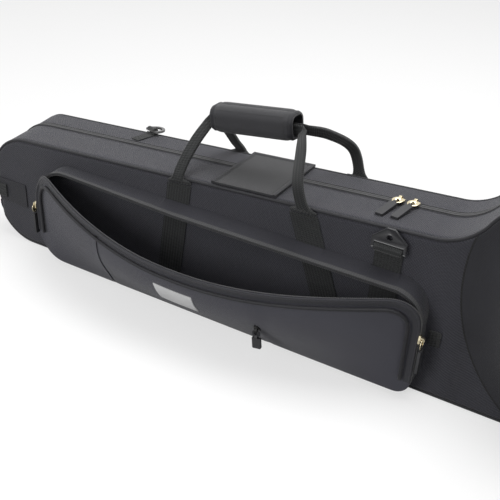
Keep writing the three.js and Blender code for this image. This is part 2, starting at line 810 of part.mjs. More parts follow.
const faceY = -shell.frontDepth - fit.gap;
const mouthY = -shell.frontDepth - pocket.depth;
function pocketBlock(inset, overrun) {
  const rings = [pocketRing(faceY + overrun, inset, 0), pocketRing(mouthY - overrun, inset, 1)];
  return toSolid(loft(rings));
}

// Straps and the ring tab pass under the gusset, through slits of their own size
const ringTabTop = topAt(dRing.frontAt) - dRing.frontDrop;
const underStraps = [
  ...frontStraps.map(({ x, lean }) => ({ x, lean, width: webbing.width, top: strapTop(x) })),
  { x: dRing.frontAt, lean: 0, width: dRing.tabWidth, top: ringTabTop },
];
const strapSlits = underStraps.map(({ x, lean, width, top }) => toSolid(faceStrap({
  x,
  lean,
  side: -1,
  near: shell.frontDepth - fit.overrun,
  thickness: fit.overrun + webbing.thickness + 2 * fit.gap,
  top,
  bottom: 0,
  width: width + 2 * fit.gap,
})));
const gusset = strapSlits.reduce(
  (left, slit) => left.subtract(slit),
  pocketBlock(0, 0).subtract(pocketBlock(pocket.wall, fit.overrun)),
);
addPiece('pocket_gusset', toGeometry(gusset), finish.smooth);

// The pocket flap's cloth leans out from its hinge line and turns upright above, most at mid-length
const hingeZ = pocket.bottom;
const flapY = mouthY - fit.gap;
function flapLean(x, up) {
  const from = pocket.left + pocket.bowLeft;
  const along = clamp((x - from) / (pocket.right - pocket.bowRight - from), 0, 1);
  const share = 1 - Math.abs(2 * along - 1) ** pocket.bowPower;
  const bent = smoothstep(up, pocket.bendStart, pocket.bendEnd);
  return degToRad(lerp(pocket.bowLow, pocket.bowHigh, bent)) * share;
}

function flapPoint(x, up, out) {
  const spot = point(x, flapY, hingeZ);
  const along = (lean, length) => spot.add(point(0, -length * Math.sin(lean), length * Math.cos(lean)));
  for (let i = 0; i < pocket.bowSlices; i += 1) {
    along(flapLean(x, (up * (i + 0.5)) / pocket.bowSlices), up / pocket.bowSlices);
  }
  return along(flapLean(x, up) + Math.PI / 2, out);
}

function flapSpan(x, inset) {
  const { low, high } = pocketSpan(x, inset, 1);
  return { low: low - hingeZ, high: high - hingeZ };
}

// Three cloth panels side by side, cut along the two slanting pocket edges
const flapStations = pocketStations(0);
const panelCuts = [
  { bottom: pocket.left, top: pocket.left },
  { bottom: pocket.slitBottom, top: pocket.slitTop },
  { bottom: pocket.edgeBottom, top: pocket.edgeTop },
  { bottom: pocket.right, top: pocket.right },
];
const panels = [
  { name: 'flap_panel_left', turns: flapStations.slice(0, pocket.turnSteps + 1), steps: 5 },
  { name: 'flap_panel_centre', turns: [], steps: 8 },
  { name: 'flap_panel_right', turns: flapStations.slice(pocket.turnSteps + 1), steps: 6 },
];
panels.forEach(({ name, turns, steps }, k) => {
  const leftCut = panelCuts[k];
  const rightCut = panelCuts[k + 1];
  const play = (edge) => (edge === pocket.left || edge === pocket.right ? 0 : pocket.panelGap / 2);
  const count = turns.length > 0 ? turns.length - 1 + steps : steps;
  const xAt = (index, s) => {
    const from = lerp(leftCut.bottom, leftCut.top, s) + play(leftCut.bottom);
    const to = lerp(rightCut.bottom, rightCut.top, s) - play(rightCut.bottom);
    if (turns.length === 0) return lerp(from, to, index / steps);
    if (k === 0 && index < turns.length) return turns[index];
    if (k === 0) return lerp(turns.at(-1), to, (index - turns.length + 1) / steps);
    return index < steps ? lerp(from, turns[0], index / steps) : turns[index - steps];
  };
  const panel = warpedBox(count, pocket.panelRows, (u, s, n) => {
    const x = xAt(Math.round(u * count), s);
    const { low, high } = flapSpan(x, 0);
    return flapPoint(x, lerp(low, high, s), n * pocket.cloth);
  });
  addPiece(name, panel, finish.smooth);
});

// A strip that follows the pocket's edge from one end, over the top, to the other end
function edgeStrip(inset, place) {
  const stations = pocketStations(inset, pocket.bowSteps);
  const left = stations[0];
  const right = stations[stations.length - 1];
  const points = stations.map((x) => place(x, pocketSpan(x, inset, 1).high - hingeZ));
  const foot = (x) => place(x, pocketSpan(x, inset, 1).low - hingeZ);
  return [foot(left), ...points, foot(right)];
}

// Zipper tapes: one along the gusset's mouth, one along the flap's free edge
function edgeTape(inset, width, place) {
  const outerRun = edgeStrip(inset, (x, up) => ({ x, up }));
  const innerRun = edgeStrip(inset + width, (x, up) => ({ x, up }));
  const last = outerRun.length - 1;
  const mixed = (index, s) => ({
    x: lerp(outerRun[index].x, innerRun[index].x, s),
    up: lerp(outerRun[index].up, innerRun[index].up, s),
  });
  return warpedBox(last, 1, (u, s, n) => {
    const { x, up } = mixed(Math.round(u * last), 1 - s);
    return place(x, up, n);
  });
}

const tapeStand = pocket.tapePlay + pocket.tapeThickness;
const flapTape = edgeTape(0, pocket.tapeWidth, (x, up, n) => (
  flapPoint(x, up, pocket.cloth + lerp(pocket.tapePlay, tapeStand, n))
));
addPiece('flap_zipper_tape', flapTape, finish.trim);

// Tape on the case side, standing just inside the gusset wall
const mouthRun = (inset, y) => pocketRing(y, inset, (faceY - y) / (faceY - mouthY));
const tapeInset = pocket.wall + fit.gap;
const tapeBlock = (inset, overrun) => toSolid(loft([
  mouthRun(inset, mouthY + pocket.tapeWidth + overrun),
  mouthRun(inset, mouthY - overrun),
]));
const tapeInside = tapeBlock(tapeInset + pocket.tapeThickness, fit.overrun);
const mouthTapeRing = tapeBlock(tapeInset, 0).subtract(tapeInside);
const mouthSlab = boxSolid(
  point(pocket.left, mouthY, pocket.bottom + pocket.bottomLeftRadius),
  point(pocket.right, mouthY + pocket.tapeWidth, far),
);
addPiece('pocket_zipper_tape', toGeometry(mouthTapeRing.intersect(mouthSlab)), finish.trim);

// Piping on the flap, inside the tape
const pipingStand = pocket.cloth + piping.radius + pocket.tapePlay + fit.gap;
const flapPipingPath = edgeStrip(pocket.pipingInset, (x, up) => flapPoint(x, up, pipingStand));
addPiece('flap_piping', cordAlong(flapPipingPath, piping.radius), finish.trim);

// Bare metal plate on the flap's middle panel
const plateUp = (x) => flapSpan(x, 0).high - plate.fromTop;
const plateMiddle = plate.left + plate.length / 2;
const plateShape = warpedBox(4, plate.rows, (u, s, n) => {
  const x = plate.left + u * plate.length;
  const up = plateUp(plateMiddle) - (1 - s) * plate.height;
  return flapPoint(x, up, pocket.cloth + pocket.tapePlay + n * plate.thickness);
});
addPiece('flap_plate', plateShape, finish.steel);

// A flat ring of moulded plastic from its outline, with its bar on the X axis
function mouldedRing(outline) {
  const flat = { depth: dRing.thickness, bevelEnabled: false, curveSegments: 5 };
  const ring = new THREE.ExtrudeGeometry(outline, flat);
  ring.translate(0, 0, -dRing.thickness / 2);
  return toGeometry(toSolid(ring));
}

// Ring with an eye in its web, its apex towards +Y
function eyedRing() {
  const halfWidth = dRing.width / 2;
  const halfBar = dRing.thickness / 2;
  const inside = halfWidth - dRing.arm;
  const outline = new THREE.Shape([
    [-halfWidth, -halfBar],
    [halfWidth, -halfBar],
    [halfWidth, dRing.legReach],
    [dRing.apex / 2, dRing.reach],
    [-dRing.apex / 2, dRing.reach],
    [-halfWidth, dRing.legReach],
  ].map(([x, y]) => new THREE.Vector2(x, y)));
  const slot = new THREE.Path([
    [-inside, halfBar],
    [-inside, dRing.slotTop],
    [inside, dRing.slotTop],
    [inside, halfBar],
  ].map(([x, y]) => new THREE.Vector2(x, y)));
  const eye = new THREE.Path().absarc(0, dRing.eyeAt, dRing.eyeRadius, 0, 2 * Math.PI, true);
  outline.holes.push(slot, eye);
  return mouldedRing(outline);
}

// Open ring, straight at the bar and round towards +Y
function openRing() {
  const halfBar = dRing.thickness / 2;
  const bow = (path, start, radius) => {
    path.moveTo(-radius, start);
    path.lineTo(radius, start);
    path.absarc(0, backLoop.legReach, radius, 0, Math.PI, false);
    path.closePath();
    return path;
  };
  const outline = bow(new THREE.Shape(), -halfBar, backLoop.radius);
  outline.holes.push(bow(new THREE.Path(), halfBar, backLoop.radius - backLoop.arm));
  return mouldedRing(outline);
}

// A cylinder with its axis along X
function barSolid(radius, length, sides) {
  const bar = new THREE.CylinderGeometry(radius, radius, length, sides);
  bar.rotateZ(Math.PI / 2);
  return toSolid(bar);
}

// Webbing folded round the ring's bar: a flat tab joined to a roll with a bore
function rolledTab(tab, width, at) {
  const shift = [at.x, at.y, at.z];
  const roll = barSolid(dRing.rollRadius, width, boreSides).translate(shift);
  const bore = barSolid(dRing.rollBore, dRing.width, boreSides).translate(shift);
  return toGeometry(toSolid(tab).add(roll).subtract(bore));
}

// Front ring, on the face above the pocket
const frontRoll = point(dRing.frontAt, faceY - dRing.rollRadius - dRing.rollLift, ringTabTop);
const frontTab = faceStrap({
  x: dRing.frontAt,
  lean: 0,
  side: -1,
  near: shell.frontDepth + fit.gap,
  thickness: webbing.thickness,
  top: ringTabTop,
  bottom: dRing.frontTabBottom,
  width: dRing.tabWidth,
});
addPiece('front_ring_tab', rolledTab(frontTab, dRing.tabWidth, frontRoll), finish.webbing);
const frontRing = addPiece('front_d_ring', eyedRing(), finish.plastic);
frontRing.position.copy(frontRoll);
frontRing.rotation.x = Math.PI / 2 - degToRad(dRing.frontLean);

// Back ring, on a tab that lies turned on the top face behind the zipper
const backFrame = new THREE.Group();
backFrame.position.set(backLoop.at, backLoop.rollAt, 0);
backFrame.rotation.z = -degToRad(backLoop.turn);
topFace.add(backFrame);
const backRoll = point(0, 0, fit.gap + dRing.rollRadius + dRing.rollLift);
const backTab = boxBetween(
  point(-backLoop.tabWidth / 2, -backLoop.tabLength, fit.gap),
  point(backLoop.tabWidth / 2, 0, fit.gap + webbing.thickness),
);
addPiece('back_ring_tab', rolledTab(backTab, backLoop.tabWidth, backRoll), finish.webbing, backFrame);
const backRing = addPiece('back_d_ring', openRing(), finish.greyPlastic, backFrame);
backRing.position.copy(backRoll);
backRing.rotation.x = -degToRad(backLoop.droop);

// Zipper slider in its own frame: the tape's face is z = 0 and the pull leaves towards +Y
const boreHeight = fit.gap + slider.base + slider.lugRise;
function sliderBody(turn, lean) {
  const nose = slider.length / 2;
  const outline = new THREE.Shape([
    [-nose, -slider.tail / 2],
    [0, -slider.width / 2],
    [nose, -slider.width / 2],
    [nose, slider.width / 2],
    [0, slider.width / 2],
    [-nose, slider.tail / 2],
  ].map(([x, y]) => new THREE.Vector2(x, y)));
  const base = new THREE.ExtrudeGeometry(outline, { depth: slider.base, bevelEnabled: false });
  base.rotateZ(turn);
  base.translate(0, 0, fit.gap);
  const halfLug = slider.lugLength / 2;
  const foot = boxBetween(
    point(-halfLug, -slider.lugRadius, fit.gap + slider.base / 2),
    point(halfLug, slider.lugRadius, boreHeight),
  );
  foot.rotateZ(lean);
  const eyeSides = boreSides / 2;
  const onAxis = (radius, length) => barSolid(radius, length, eyeSides)
    .rotate([0, 0, THREE.MathUtils.radToDeg(lean)])
    .translate([0, 0, boreHeight]);
  const lug = toSolid(foot).add(onAxis(slider.lugRadius, slider.lugLength));
  return toGeometry(toSolid(base).add(lug).subtract(onAxis(slider.bore, slider.width)));
}

// The pull: a rubber tab with a bored head that the ring's far side runs through
function pullBody({ ringRadius, length, width }) {
  const head = 2 * ringRadius;
  const start = head + zipPull.wire + zipPull.headPlay / 2;
  const halfWidth = width / 2;
  const { corner } = zipPull;
  const outline = new THREE.Shape();
  outline.moveTo(-halfWidth, start);
  outline.lineTo(halfWidth, start);
  outline.absarc(halfWidth - corner, head + length - corner, corner, 0, Math.PI / 2, false);
  outline.absarc(corner - halfWidth, head + length - corner, corner, Math.PI / 2, Math.PI, false);
  outline.closePath();
  const flat = { depth: zipPull.thickness, bevelEnabled: false, curveSegments: 2 };
  const tab = new THREE.ExtrudeGeometry(outline, flat);
  tab.translate(0, 0, -zipPull.thickness / 2);
  const eyeSides = boreSides / 2;
  const headAt = [0, head, 0];
  const tube = barSolid(slider.lugRadius, slider.lugLength, eyeSides).translate(headAt);
  const bore = barSolid(slider.bore, width, eyeSides).translate(headAt);
  return toGeometry(toSolid(tab).add(tube).subtract(bore));
}

// One slider with its ring and pull, added to frame, which lies on the tape
function addZip(names, frame, { turn, lean, lay, sizes = zipPull, metal = finish.gold }) {
  addPiece(names.slider, sliderBody(turn, lean), metal, frame);
  const swing = new THREE.Group();
  swing.position.z = boreHeight;
  swing.rotation.set(lay, 0, lean, 'ZXY');
  frame.add(swing);
  const ring = new THREE.TorusGeometry(sizes.ringRadius, zipPull.wire, piping.sides, boreSides - 2);
  ring.translate(0, sizes.ringRadius, 0);
  addPiece(names.ring, ring, metal, swing);
  addPiece(names.pull, pullBody(sizes), finish.rubber, swing);
}

const zipNames = (zip, where) => ({
  slider: `${zip}_slider_${where}`,
  ring: `${zip}_slider_ring_${where}`,
  pull: `${zip}_pull_${where}`,
});

// Two sliders on the main zipper, their pulls lying on the top face towards the pocket side
const zipReach = 2 * zipPull.ringRadius + zipPull.length;
const zipDrop = boreHeight + zipper.proud - zipPull.thickness / 2 - fit.gap;
['left', 'right'].forEach((where) => {
  const frame = new THREE.Group();
  frame.position.set(mainZip[`${where}At`], 0, zipper.proud);
  frame.rotation.z = Math.PI;
  topFace.add(frame);
  const lay = -Math.asin(zipDrop / zipReach);
  addZip(zipNames('main', where), frame, { turn: 0, lean: -degToRad(mainZip.lean), lay });
});

// A frame at x on the chord from left to right on the flap's outer face: +Z out of the cloth, +Y down it
function flapFrame({ left, right, x, up, out }) {
  const leftSpot = flapPoint(left, up, out);
  const rightSpot = flapPoint(right, up, out);
  const middle = point(0, 0, 0).lerpVectors(leftSpot, rightSpot, (x - left) / (right - left));
  const sideways = point(0, 0, 0).subVectors(leftSpot, rightSpot).normalize();
  const down = point(0, 0, 0).subVectors(flapPoint(x, up - slider.length, out), middle).normalize();
  const outward = point(0, 0, 0).crossVectors(sideways, down).normalize();
  down.crossVectors(outward, sideways);
  const frame = new THREE.Group();
  frame.matrixAutoUpdate = false;
  frame.matrix.makeBasis(sideways, down, outward).setPosition(middle);
  caseFrame.add(frame);
  return frame;
}

// A slider at each end of the pocket's zipper, on the flap's side edges, its pull hanging down
const pocketEnds = [
  { where: 'left', sign: -1, edge: pocket.left, z: pocketZip.leftHeight },
  { where: 'right', sign: 1, edge: pocket.right, z: pocketZip.rightHeight },
];
pocketEnds.forEach(({ where, sign, edge, z }) => {
  const frame = new THREE.Group();
  frame.matrixAutoUpdate = false;
  frame.matrix.makeBasis(point(0, -sign, 0), point(0, 0, -1), point(sign, 0, 0));
  frame.matrix.setPosition(edge, flapY - pocket.cloth / 2, z);
  caseFrame.add(frame);
  addZip(zipNames('pocket', where), frame, { turn: Math.PI / 2, lean: 0, lay: 0 });
});

// A small slider with a cord loop where the middle and right flap panels meet
const flapZipX = lerp(pocket.edgeBottom, pocket.edgeTop, flapZip.heightShare);
const flapZipUp = flapSpan(flapZipX, 0).high * flapZip.heightShare;
addZip(
  { slider: 'flap_slider', ring: 'flap_pull_cord', pull: 'flap_pull' },
  flapFrame({
    left: flapZipX - slider.width / 2,
    right: flapZipX + slider.width / 2,
    x: flapZipX,
    up: flapZipUp,
    out: pocket.cloth + flapZip.seat,
  }),
  { turn: Math.PI / 2, lean: 0, lay: flapLean(flapZipX, flapZipUp), sizes: flapZip, metal: finish.trim },
);

// Short webbing tab on the face, beyond the pocket's right end
const tabAtEnd = boxBetween(
  point(endTab.left, faceY - endTab.thickness, endTab.bottom),
  point(endTab.left + endTab.width, faceY, endTab.bottom + endTab.height),
);
addPiece('pocket_end_tab', tabAtEnd, finish.webbing);

// The origin lies on the flat underside of the back half, at the middle of the length
caseFrame.position.y = -originSetback;

export default model;
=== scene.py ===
from contextlib import contextmanager
from math import atan, copysign, cos, exp, pi, radians, sin, sqrt, tan

import bmesh
import bpy
from mathutils import Matrix, Vector


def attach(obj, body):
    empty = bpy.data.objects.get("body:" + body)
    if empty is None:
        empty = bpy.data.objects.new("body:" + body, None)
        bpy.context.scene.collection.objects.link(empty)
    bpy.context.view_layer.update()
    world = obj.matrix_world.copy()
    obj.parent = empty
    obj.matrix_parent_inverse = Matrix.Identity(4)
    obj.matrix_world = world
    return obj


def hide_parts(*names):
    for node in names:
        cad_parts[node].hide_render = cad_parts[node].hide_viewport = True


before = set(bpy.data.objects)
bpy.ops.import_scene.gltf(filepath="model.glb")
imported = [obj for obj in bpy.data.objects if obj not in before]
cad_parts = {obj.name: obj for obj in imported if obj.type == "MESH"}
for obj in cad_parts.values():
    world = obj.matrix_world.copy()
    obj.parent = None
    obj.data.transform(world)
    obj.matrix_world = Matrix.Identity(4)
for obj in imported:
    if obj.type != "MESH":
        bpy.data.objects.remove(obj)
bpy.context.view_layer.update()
print("frame loaded")

# All sizes below are millimetres from the zipper plane; y is moved by setback when points are placed
caseSizes = {
    "half": 468, "frontDepth": 70, "backDepth": 52, "slideHeight": 180, "neckHeight": 226, "wall": 12,
    "edgeRadius": 9, "topCornerFront": 70, "topCornerBack": 45, "bottomCorner": 66, "bellCorner": 42,
    "planCorner": 12, "splitHalf": 0.2, "setback": 12, "crease": 1.4, "creaseSpread": 16,
}
shoulderSizes = {"start": 244, "rise": 74, "hollow": 75, "steepest": 62}
flareSizes = {
    "seamAt": 292, "seamRadius": 234, "seamHeight": 195,
    "frontRise": 80, "backRise": 73, "hollow": 90, "steepest": 55,
}
liningSizes = {"play": 0.4, "thickness": 3.4}
half = caseSizes["half"]
halves = ((-1, "front", caseSizes["frontDepth"]), (1, "back", caseSizes["backDepth"]))
slope = (caseSizes["neckHeight"] - caseSizes["slideHeight"]) / (shoulderSizes["start"] + half)
slopeAngle = atan(slope)


def lerp(a, b, t):
    return a + (b - a) * t


def sharesOf(count):
    return [i / count for i in range(count + 1)]


def clamp(t):
    return min(max(t, 0.0), 1.0)


def smooth(t):
    t = clamp(t)
    return t * t * (3 - 2 * t)


def hump(away, width):
    return exp(-(away / width) ** 2)


def at(x, y, z):
    return Vector((x, y - caseSizes["setback"], z)) / 1000


def cornerInset(reach, radius):
    return 0.0 if reach >= radius else radius - sqrt(radius ** 2 - (radius - max(reach, 0.0)) ** 2)


def swell(run, rise, hollow, steepest):
    # A hollow curve that turns over into a crown and ends level, rise above its start
    turn = radians(steepest)
    crown = rise / (1 - cos(turn)) - hollow
    end = (hollow + crown) * sin(turn)
    if run <= 0 or run >= end:
        return 0.0 if run <= 0 else rise
    if run <= hollow * sin(turn):
        return hollow - sqrt(hollow ** 2 - run ** 2)
    return rise - (crown - sqrt(crown ** 2 - (end - run) ** 2))


def topAt(x):
    s = shoulderSizes
    low = caseSizes["slideHeight"] + slope * (min(x, s["start"]) + half)
    return low + swell(x - s["start"], s["rise"], s["hollow"], s["steepest"])


def seamAt(z):
    radius = flareSizes["seamRadius"]
    away = min(abs(z - flareSizes["seamHeight"]), radius)
    return flareSizes["seamAt"] + radius - sqrt(radius ** 2 - away ** 2)


def sideAt(x, z, side):
    depth, rise = ("frontDepth", "frontRise") if side < 0 else ("backDepth", "backRise")
    return caseSizes[depth] + swell(x - seamAt(z), flareSizes[rise], flareSizes["hollow"], flareSizes["steepest"])


def onTop(x, y, z):  # a point in the plane of the sloping top face
    cosine, sine = cos(slopeAngle), sin(slopeAngle)
    return at(x * cosine - z * sine, y, topAt(0) + x * sine + z * cosine)


# Mesh helpers
def polyMesh(name, verts, faces):
    mesh = bpy.data.meshes.new(name)
    mesh.from_pydata([tuple(v) for v in verts], [], faces)
    mesh.update()
    return mesh


def gridMesh(name, rows, ringClosed=False, rowsClosed=False, capped=False):
    # A mesh from equal rows of points, with UVs in metres along and across
    count, last = len(rows[0]), len(rows) - 1
    run, widths = [0.0], []
    for i, row in enumerate(rows):
        run.append(run[-1] + (rows[(i + 1) % len(rows)][count // 3] - row[count // 3]).length)
        reach = [0.0]
        for j, p in enumerate(row):
            reach.append(reach[-1] + (row[(j + 1) % count] - p).length)
        widths.append(reach)
    faces, uvs = [], []
    for i in range(last + rowsClosed):
        k = (i + 1) % len(rows)
        for j in range(count - 1 + ringClosed):
            m = (j + 1) % count
            faces.append((i * count + j, i * count + m, k * count + m, k * count + j))
            uvs += [(run[i], widths[i][j]), (run[i], widths[i][j + 1]),
                    (run[i + 1], widths[k][j + 1]), (run[i + 1], widths[k][j])]
    if capped:
        for first, row, way in ((0, rows[0], -1), (last * count, rows[-1], 1)):
            order = row[::way]
            side = (order[1] - order[0]).normalized()
            faces.append(tuple(range(first, first + count))[::way])
            uvs += [((p - order[0]).dot(side), (p - order[0]).cross(side).length) for p in order]
    mesh = polyMesh(name, [p for row in rows for p in row], faces)
    mesh.uv_layers.new(name="UVMap").data.foreach_set("uv", [c for uv in uvs for c in uv])
    mesh.update()
    return mesh


def ringMesh(name, rings):
    return gridMesh(name, rings, ringClosed=True, capped=True)


@contextmanager
def editing(mesh):
    bm = bmesh.new()
    bm.from_mesh(mesh)
    yield bm
    bm.to_mesh(mesh)
    bm.free()


def joinMeshes(name, meshes):
    joined = bpy.data.meshes.new(name)
    with editing(joined) as bm:
        for mesh in meshes:
            bm.from_mesh(mesh)
            bpy.data.meshes.remove(mesh)
    return joined


def setFinish(mesh, pick):
    # Each face takes the finish that pick names by its place in the piece's list
    for polygon in mesh.polygons:
        polygon.material_index = pick(polygon.index)


def addPiece(name, mesh, materials, body, node=None, slot=None, sharp=None):
    with editing(mesh) as bm:
        bmesh.ops.recalc_face_normals(bm, faces=bm.faces)
    mesh.update()
    piece = bpy.data.objects.new(name, mesh)
    bpy.context.scene.collection.objects.link(piece)
    for material in (materials if isinstance(materials, list) else [materials]):
        mesh.materials.append(material)
    for polygon in mesh.polygons:
        polygon.use_smooth = True
    if sharp is not None:
        mesh.set_sharp_from_angle(angle=radians(sharp))
    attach(piece, body)
    if node:
        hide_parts(node)
    return piece


def heading(points, i):
    return (points[min(i + 1, len(points) - 1)] - points[max(i - 1, 0)]).normalized()


def softStrip(name, rows, thickness, outward, start=0.25, rise=14):
    # Cloth with a rounded edge: rows run across its middle surface, outward gives each point's side
    rings = []
    for i, row in enumerate(rows):
        last = len(row) - 1
        skin = [outward(i, j) * (thickness / 2000) * sqrt(min(1.0, start + min(j, last - j) / last * rise))
                for j in range(len(row))]
        rings.append([p + s for p, s in zip(row, skin)] + [p - s for p, s in zip(row, skin)][::-1])
    return ringMesh(name, rings)


def tubeMesh(name, points, radius, sides=10):
    rows, guide = [], Vector((0, 1, 0))
    for i, p in enumerate(points):
        along = heading(points, i)
        sideways = (guide - along * guide.dot(along)).normalized()
        upwards = sideways.cross(along)
        turns = [2 * pi * j / sides for j in range(sides)]
        rows.append([p + (sideways * cos(t) + upwards * sin(t)) * (radius / 1000) for t in turns])
    return ringMesh(name, rows)


def splinePoints(points, steps):
    # Centripetal Catmull-Rom through the points, cut into equal steps
    count = len(points)
    spots = []
    for n in range(steps + 1):
        place = (count - 1) * n / steps
        i = min(int(place), count - 2)
        t = place - i
        p1, p2 = points[i], points[i + 1]
        p0 = points[i - 1] if i > 0 else p1 * 2 - p2
        p3 = points[i + 2] if i + 2 < count else p2 * 2 - p1
        d0, d1, d2 = [max((b - a).length, 1e-6) ** 0.5 for a, b in ((p0, p1), (p1, p2), (p2, p3))]
        m1 = ((p1 - p0) / d0 - (p2 - p0) / (d0 + d1) + (p2 - p1) / d1) * d1
        m2 = ((p2 - p1) / d1 - (p3 - p1) / (d1 + d2) + (p3 - p2) / d2) * d1
        a = p1 * 2 - p2 * 2 + m1 + m2
        b = p2 * 3 - p1 * 3 - m1 * 2 - m2
        spots.append(a * t ** 3 + b * t ** 2 + m1 * t + p1)
    return spots


def evenPoints(points, gap):
    # The same polyline with points gap apart
    spots = [points[0].copy()]
    left = gap
    for a, b in zip(points, points[1:]):
        length = (b - a).length
        done = 0.0
        while length - done >= left and length > 0:
            done += left
            spots.append(a.lerp(b, done / length))
            left = gap
        left -= length - done
    return spots


# Corners along, across and out, and the faces between them
stitchForm = (((-1, 0, -0.3), (-0.55, 1, 0.2), (-0.55, -1, 0.2), (0.55, 1, 0.2), (0.55, -1, 0.2), (1, 0, -0.3),
               (-0.5, 0, 1.1), (0.5, 0, 1.1)),
              ((0, 1, 6), (0, 6, 2), (1, 3, 7, 6), (6, 7, 4, 2), (3, 5, 7), (7, 5, 4), (0, 2, 4, 5, 3, 1)))
toothForm = (((-1, -1, -1), (1, -1, -1), (1, 1, -1), (-1, 1, -1), (-0.6, -0.7, 1), (0.6, -0.7, 1),
              (0.6, 0.7, 1), (-0.6, 0.7, 1)),
             ((0, 3, 2, 1), (4, 5, 6, 7), (0, 1, 5, 4), (1, 2, 6, 5), (2, 3, 7, 6), (3, 0, 4, 7)))


def beadRow(name, points, outward, form, pitch, size, ahead):
    # The same small form at every pitch of a line, all in one mesh; size is its half length, width and height
    spots = evenPoints(points, pitch / 1000)
    verts, faces = [], []
    for start, end in zip(spots, spots[1:]):
        along = (end - start).normalized()
        out = outward(start) if callable(outward) else outward
        axes = [axis * (reach / 1000) for axis, reach in zip((along, along.cross(out).normalized(), out), size)]
        middle = start.lerp(end, ahead)
        faces += [[len(verts) + k for k in face] for face in form[1]]
        verts += [middle + axes[0] * a + axes[1] * b + axes[2] * c for a, b, c in form[0]]
    return polyMesh(name, verts, faces)


def stitchRow(name, points, outward, body, slot, pitch=4.2, length=2.7, width=0.55):
    size = (length / 2, width / 2, width / 2)
    addPiece(name, beadRow(name, points, outward, stitchForm, pitch, size, 0.5), thread, body, slot=slot)


def teethAlong(name, points, outward, body, pitch=2.4, size=(0.75, 0.9, 0.45)):
    addPiece(name, beadRow(name, points, outward, toothForm, pitch, size, 0.0), nylon, body, slot="trim")


def nodeCopy(node):
    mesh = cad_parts[node].data.copy()
    mesh.name = node + "_mesh"
    mesh.materials.clear()
    with editing(mesh) as bm:
        bmesh.ops.remove_doubles(bm, verts=bm.verts, dist=1e-6)
        bmesh.ops.dissolve_limit(bm, angle_limit=radians(1.5), verts=bm.verts, edges=bm.edges)
    return mesh


def sinkFaces(mesh, rim, depth):
    # The flat sides of a moulding lie a little lower than the rim round them
    with editing(mesh) as bm:
        across = max(bm.faces, key=lambda f: f.calc_area()).normal.copy()
        for way in (1, -1):
            flat = [f for f in bm.faces if f.normal.dot(across) * way > 0.99]
            bmesh.ops.inset_region(bm, faces=flat, thickness=rim / 1000, depth=-depth / 1000, use_even_offset=True)


def remadeNode(name, node, mesh, material, body, slot, sharp, *changes):
    # A CAD piece again, with modifiers worked into the copy of its mesh
    piece = addPiece(name, mesh, material, body, node, slot, sharp)
    for kind, settings in changes:
        modifier = piece.modifiers.new(kind.lower(), kind)
        for key, value in settings.items():
            setattr(modifier, key, value)
    graph = bpy.context.evaluated_depsgraph_get()
    graph.update()
    made = bpy.data.meshes.new_from_object(piece.evaluated_get(graph))
    piece.modifiers.clear()
    piece.data = made
    bpy.data.meshes.remove(mesh)
    for polygon in made.polygons:
        polygon.use_smooth = True
    return piece


def bevelledNode(node, material, body, slot, width=0.5, segments=3, name=None, rim=None):
    # Hard pieces: edges broken as moulding or plating leaves them
    mesh = nodeCopy(node)
    if rim:
        sinkFaces(mesh, *rim)
    remadeNode(name or node + "_finish", node, mesh, material, body, slot, 40, ("BEVEL", {
        "width": width / 1000, "segments": segments, "limit_method": "ANGLE", "angle_limit": radians(35),
        "harden_normals": False}))


def roundedNode(node, material, body, slot, levels=2):
    remadeNode(node + "_finish", node, nodeCopy(node), material, body, slot, None,
               ("SUBSURF", {"levels": levels, "render_levels": levels}))


def paddedNode(node, material, body, slot, voxel=3.0, rounds=6):
    # Cloth-covered foam: the CAD block with its edges softened
    piece = remadeNode(node + "_cover", node, nodeCopy(node), material, body, slot, None,
                       ("REMESH", {"mode": "VOXEL", "voxel_size": voxel / 1000}),
                       ("SMOOTH", {"factor": 0.6, "iterations": rounds}))


# Materials
def addNode(tree, kind, links=None, **settings):
    node = tree.nodes.new("ShaderNode" + kind)
    for key, value in settings.items():
        if hasattr(node, key):
            setattr(node, key, value)
        else:
            node.inputs[key.replace("_", " ")].default_value = value
    for key, source in (links or {}).items():
        tree.links.new(source, node.inputs[key])
    return node


def startMaterial(name, **sockets):
    material = bpy.data.materials.new(name)
    material.use_nodes = True
    tree = material.node_tree
    surface = tree.nodes["Principled BSDF"]
    for key, value in sockets.items():
        surface.inputs[key.replace("_", " ")].default_value = value
    coords = addNode(tree, "TexCoord")
    return material, tree, surface, coords.outputs["UV"], coords.outputs["Object"]


def fillSockets(tree, pairs):
    for socket, value in pairs:
        if isinstance(value, (int, float)):
            socket.default_value = value
        elif isinstance(value, tuple):
            socket.default_value = (*value, 1)
        else:
            tree.links.new(value, socket)


def maths(tree, operation, *values):
    node = addNode(tree, "Math", operation=operation)
    fillSockets(tree, zip(node.inputs, values))
    return node.outputs[0]


def weighted(tree, *pairs):
    # The sum of all sources, each times its own share
    parts = [maths(tree, "MULTIPLY", source, share) for source, share in pairs]
    total = parts[0]
    for part in parts[1:]:
        total = maths(tree, "ADD", total, part)
    return total


def mixColours(tree, factor, a, b):
    node = addNode(tree, "Mix", data_type="RGBA")
    fillSockets(tree, ((node.inputs[0], factor), (node.inputs[6], a), (node.inputs[7], b)))
    return node.outputs[2]


def noise(tree, coords, scale, detail=3.0, rough=0.55, stretch=None):
    if stretch:
        coords = addNode(tree, "Mapping", {"Vector": coords}, Scale=stretch).outputs[0]
    return addNode(tree, "TexNoise", {"Vector": coords}, Scale=scale, Detail=detail, Roughness=rough).outputs[0]


def waves(tree, coords, pitch, direction):
    scale = 2 * pi / 20 / (pitch / 1000)
    return addNode(tree, "TexWave", {"Vector": coords}, wave_type="BANDS", bands_direction=direction,
                   wave_profile="SIN", Scale=scale, Phase_Offset=-pi / 2).outputs[1]


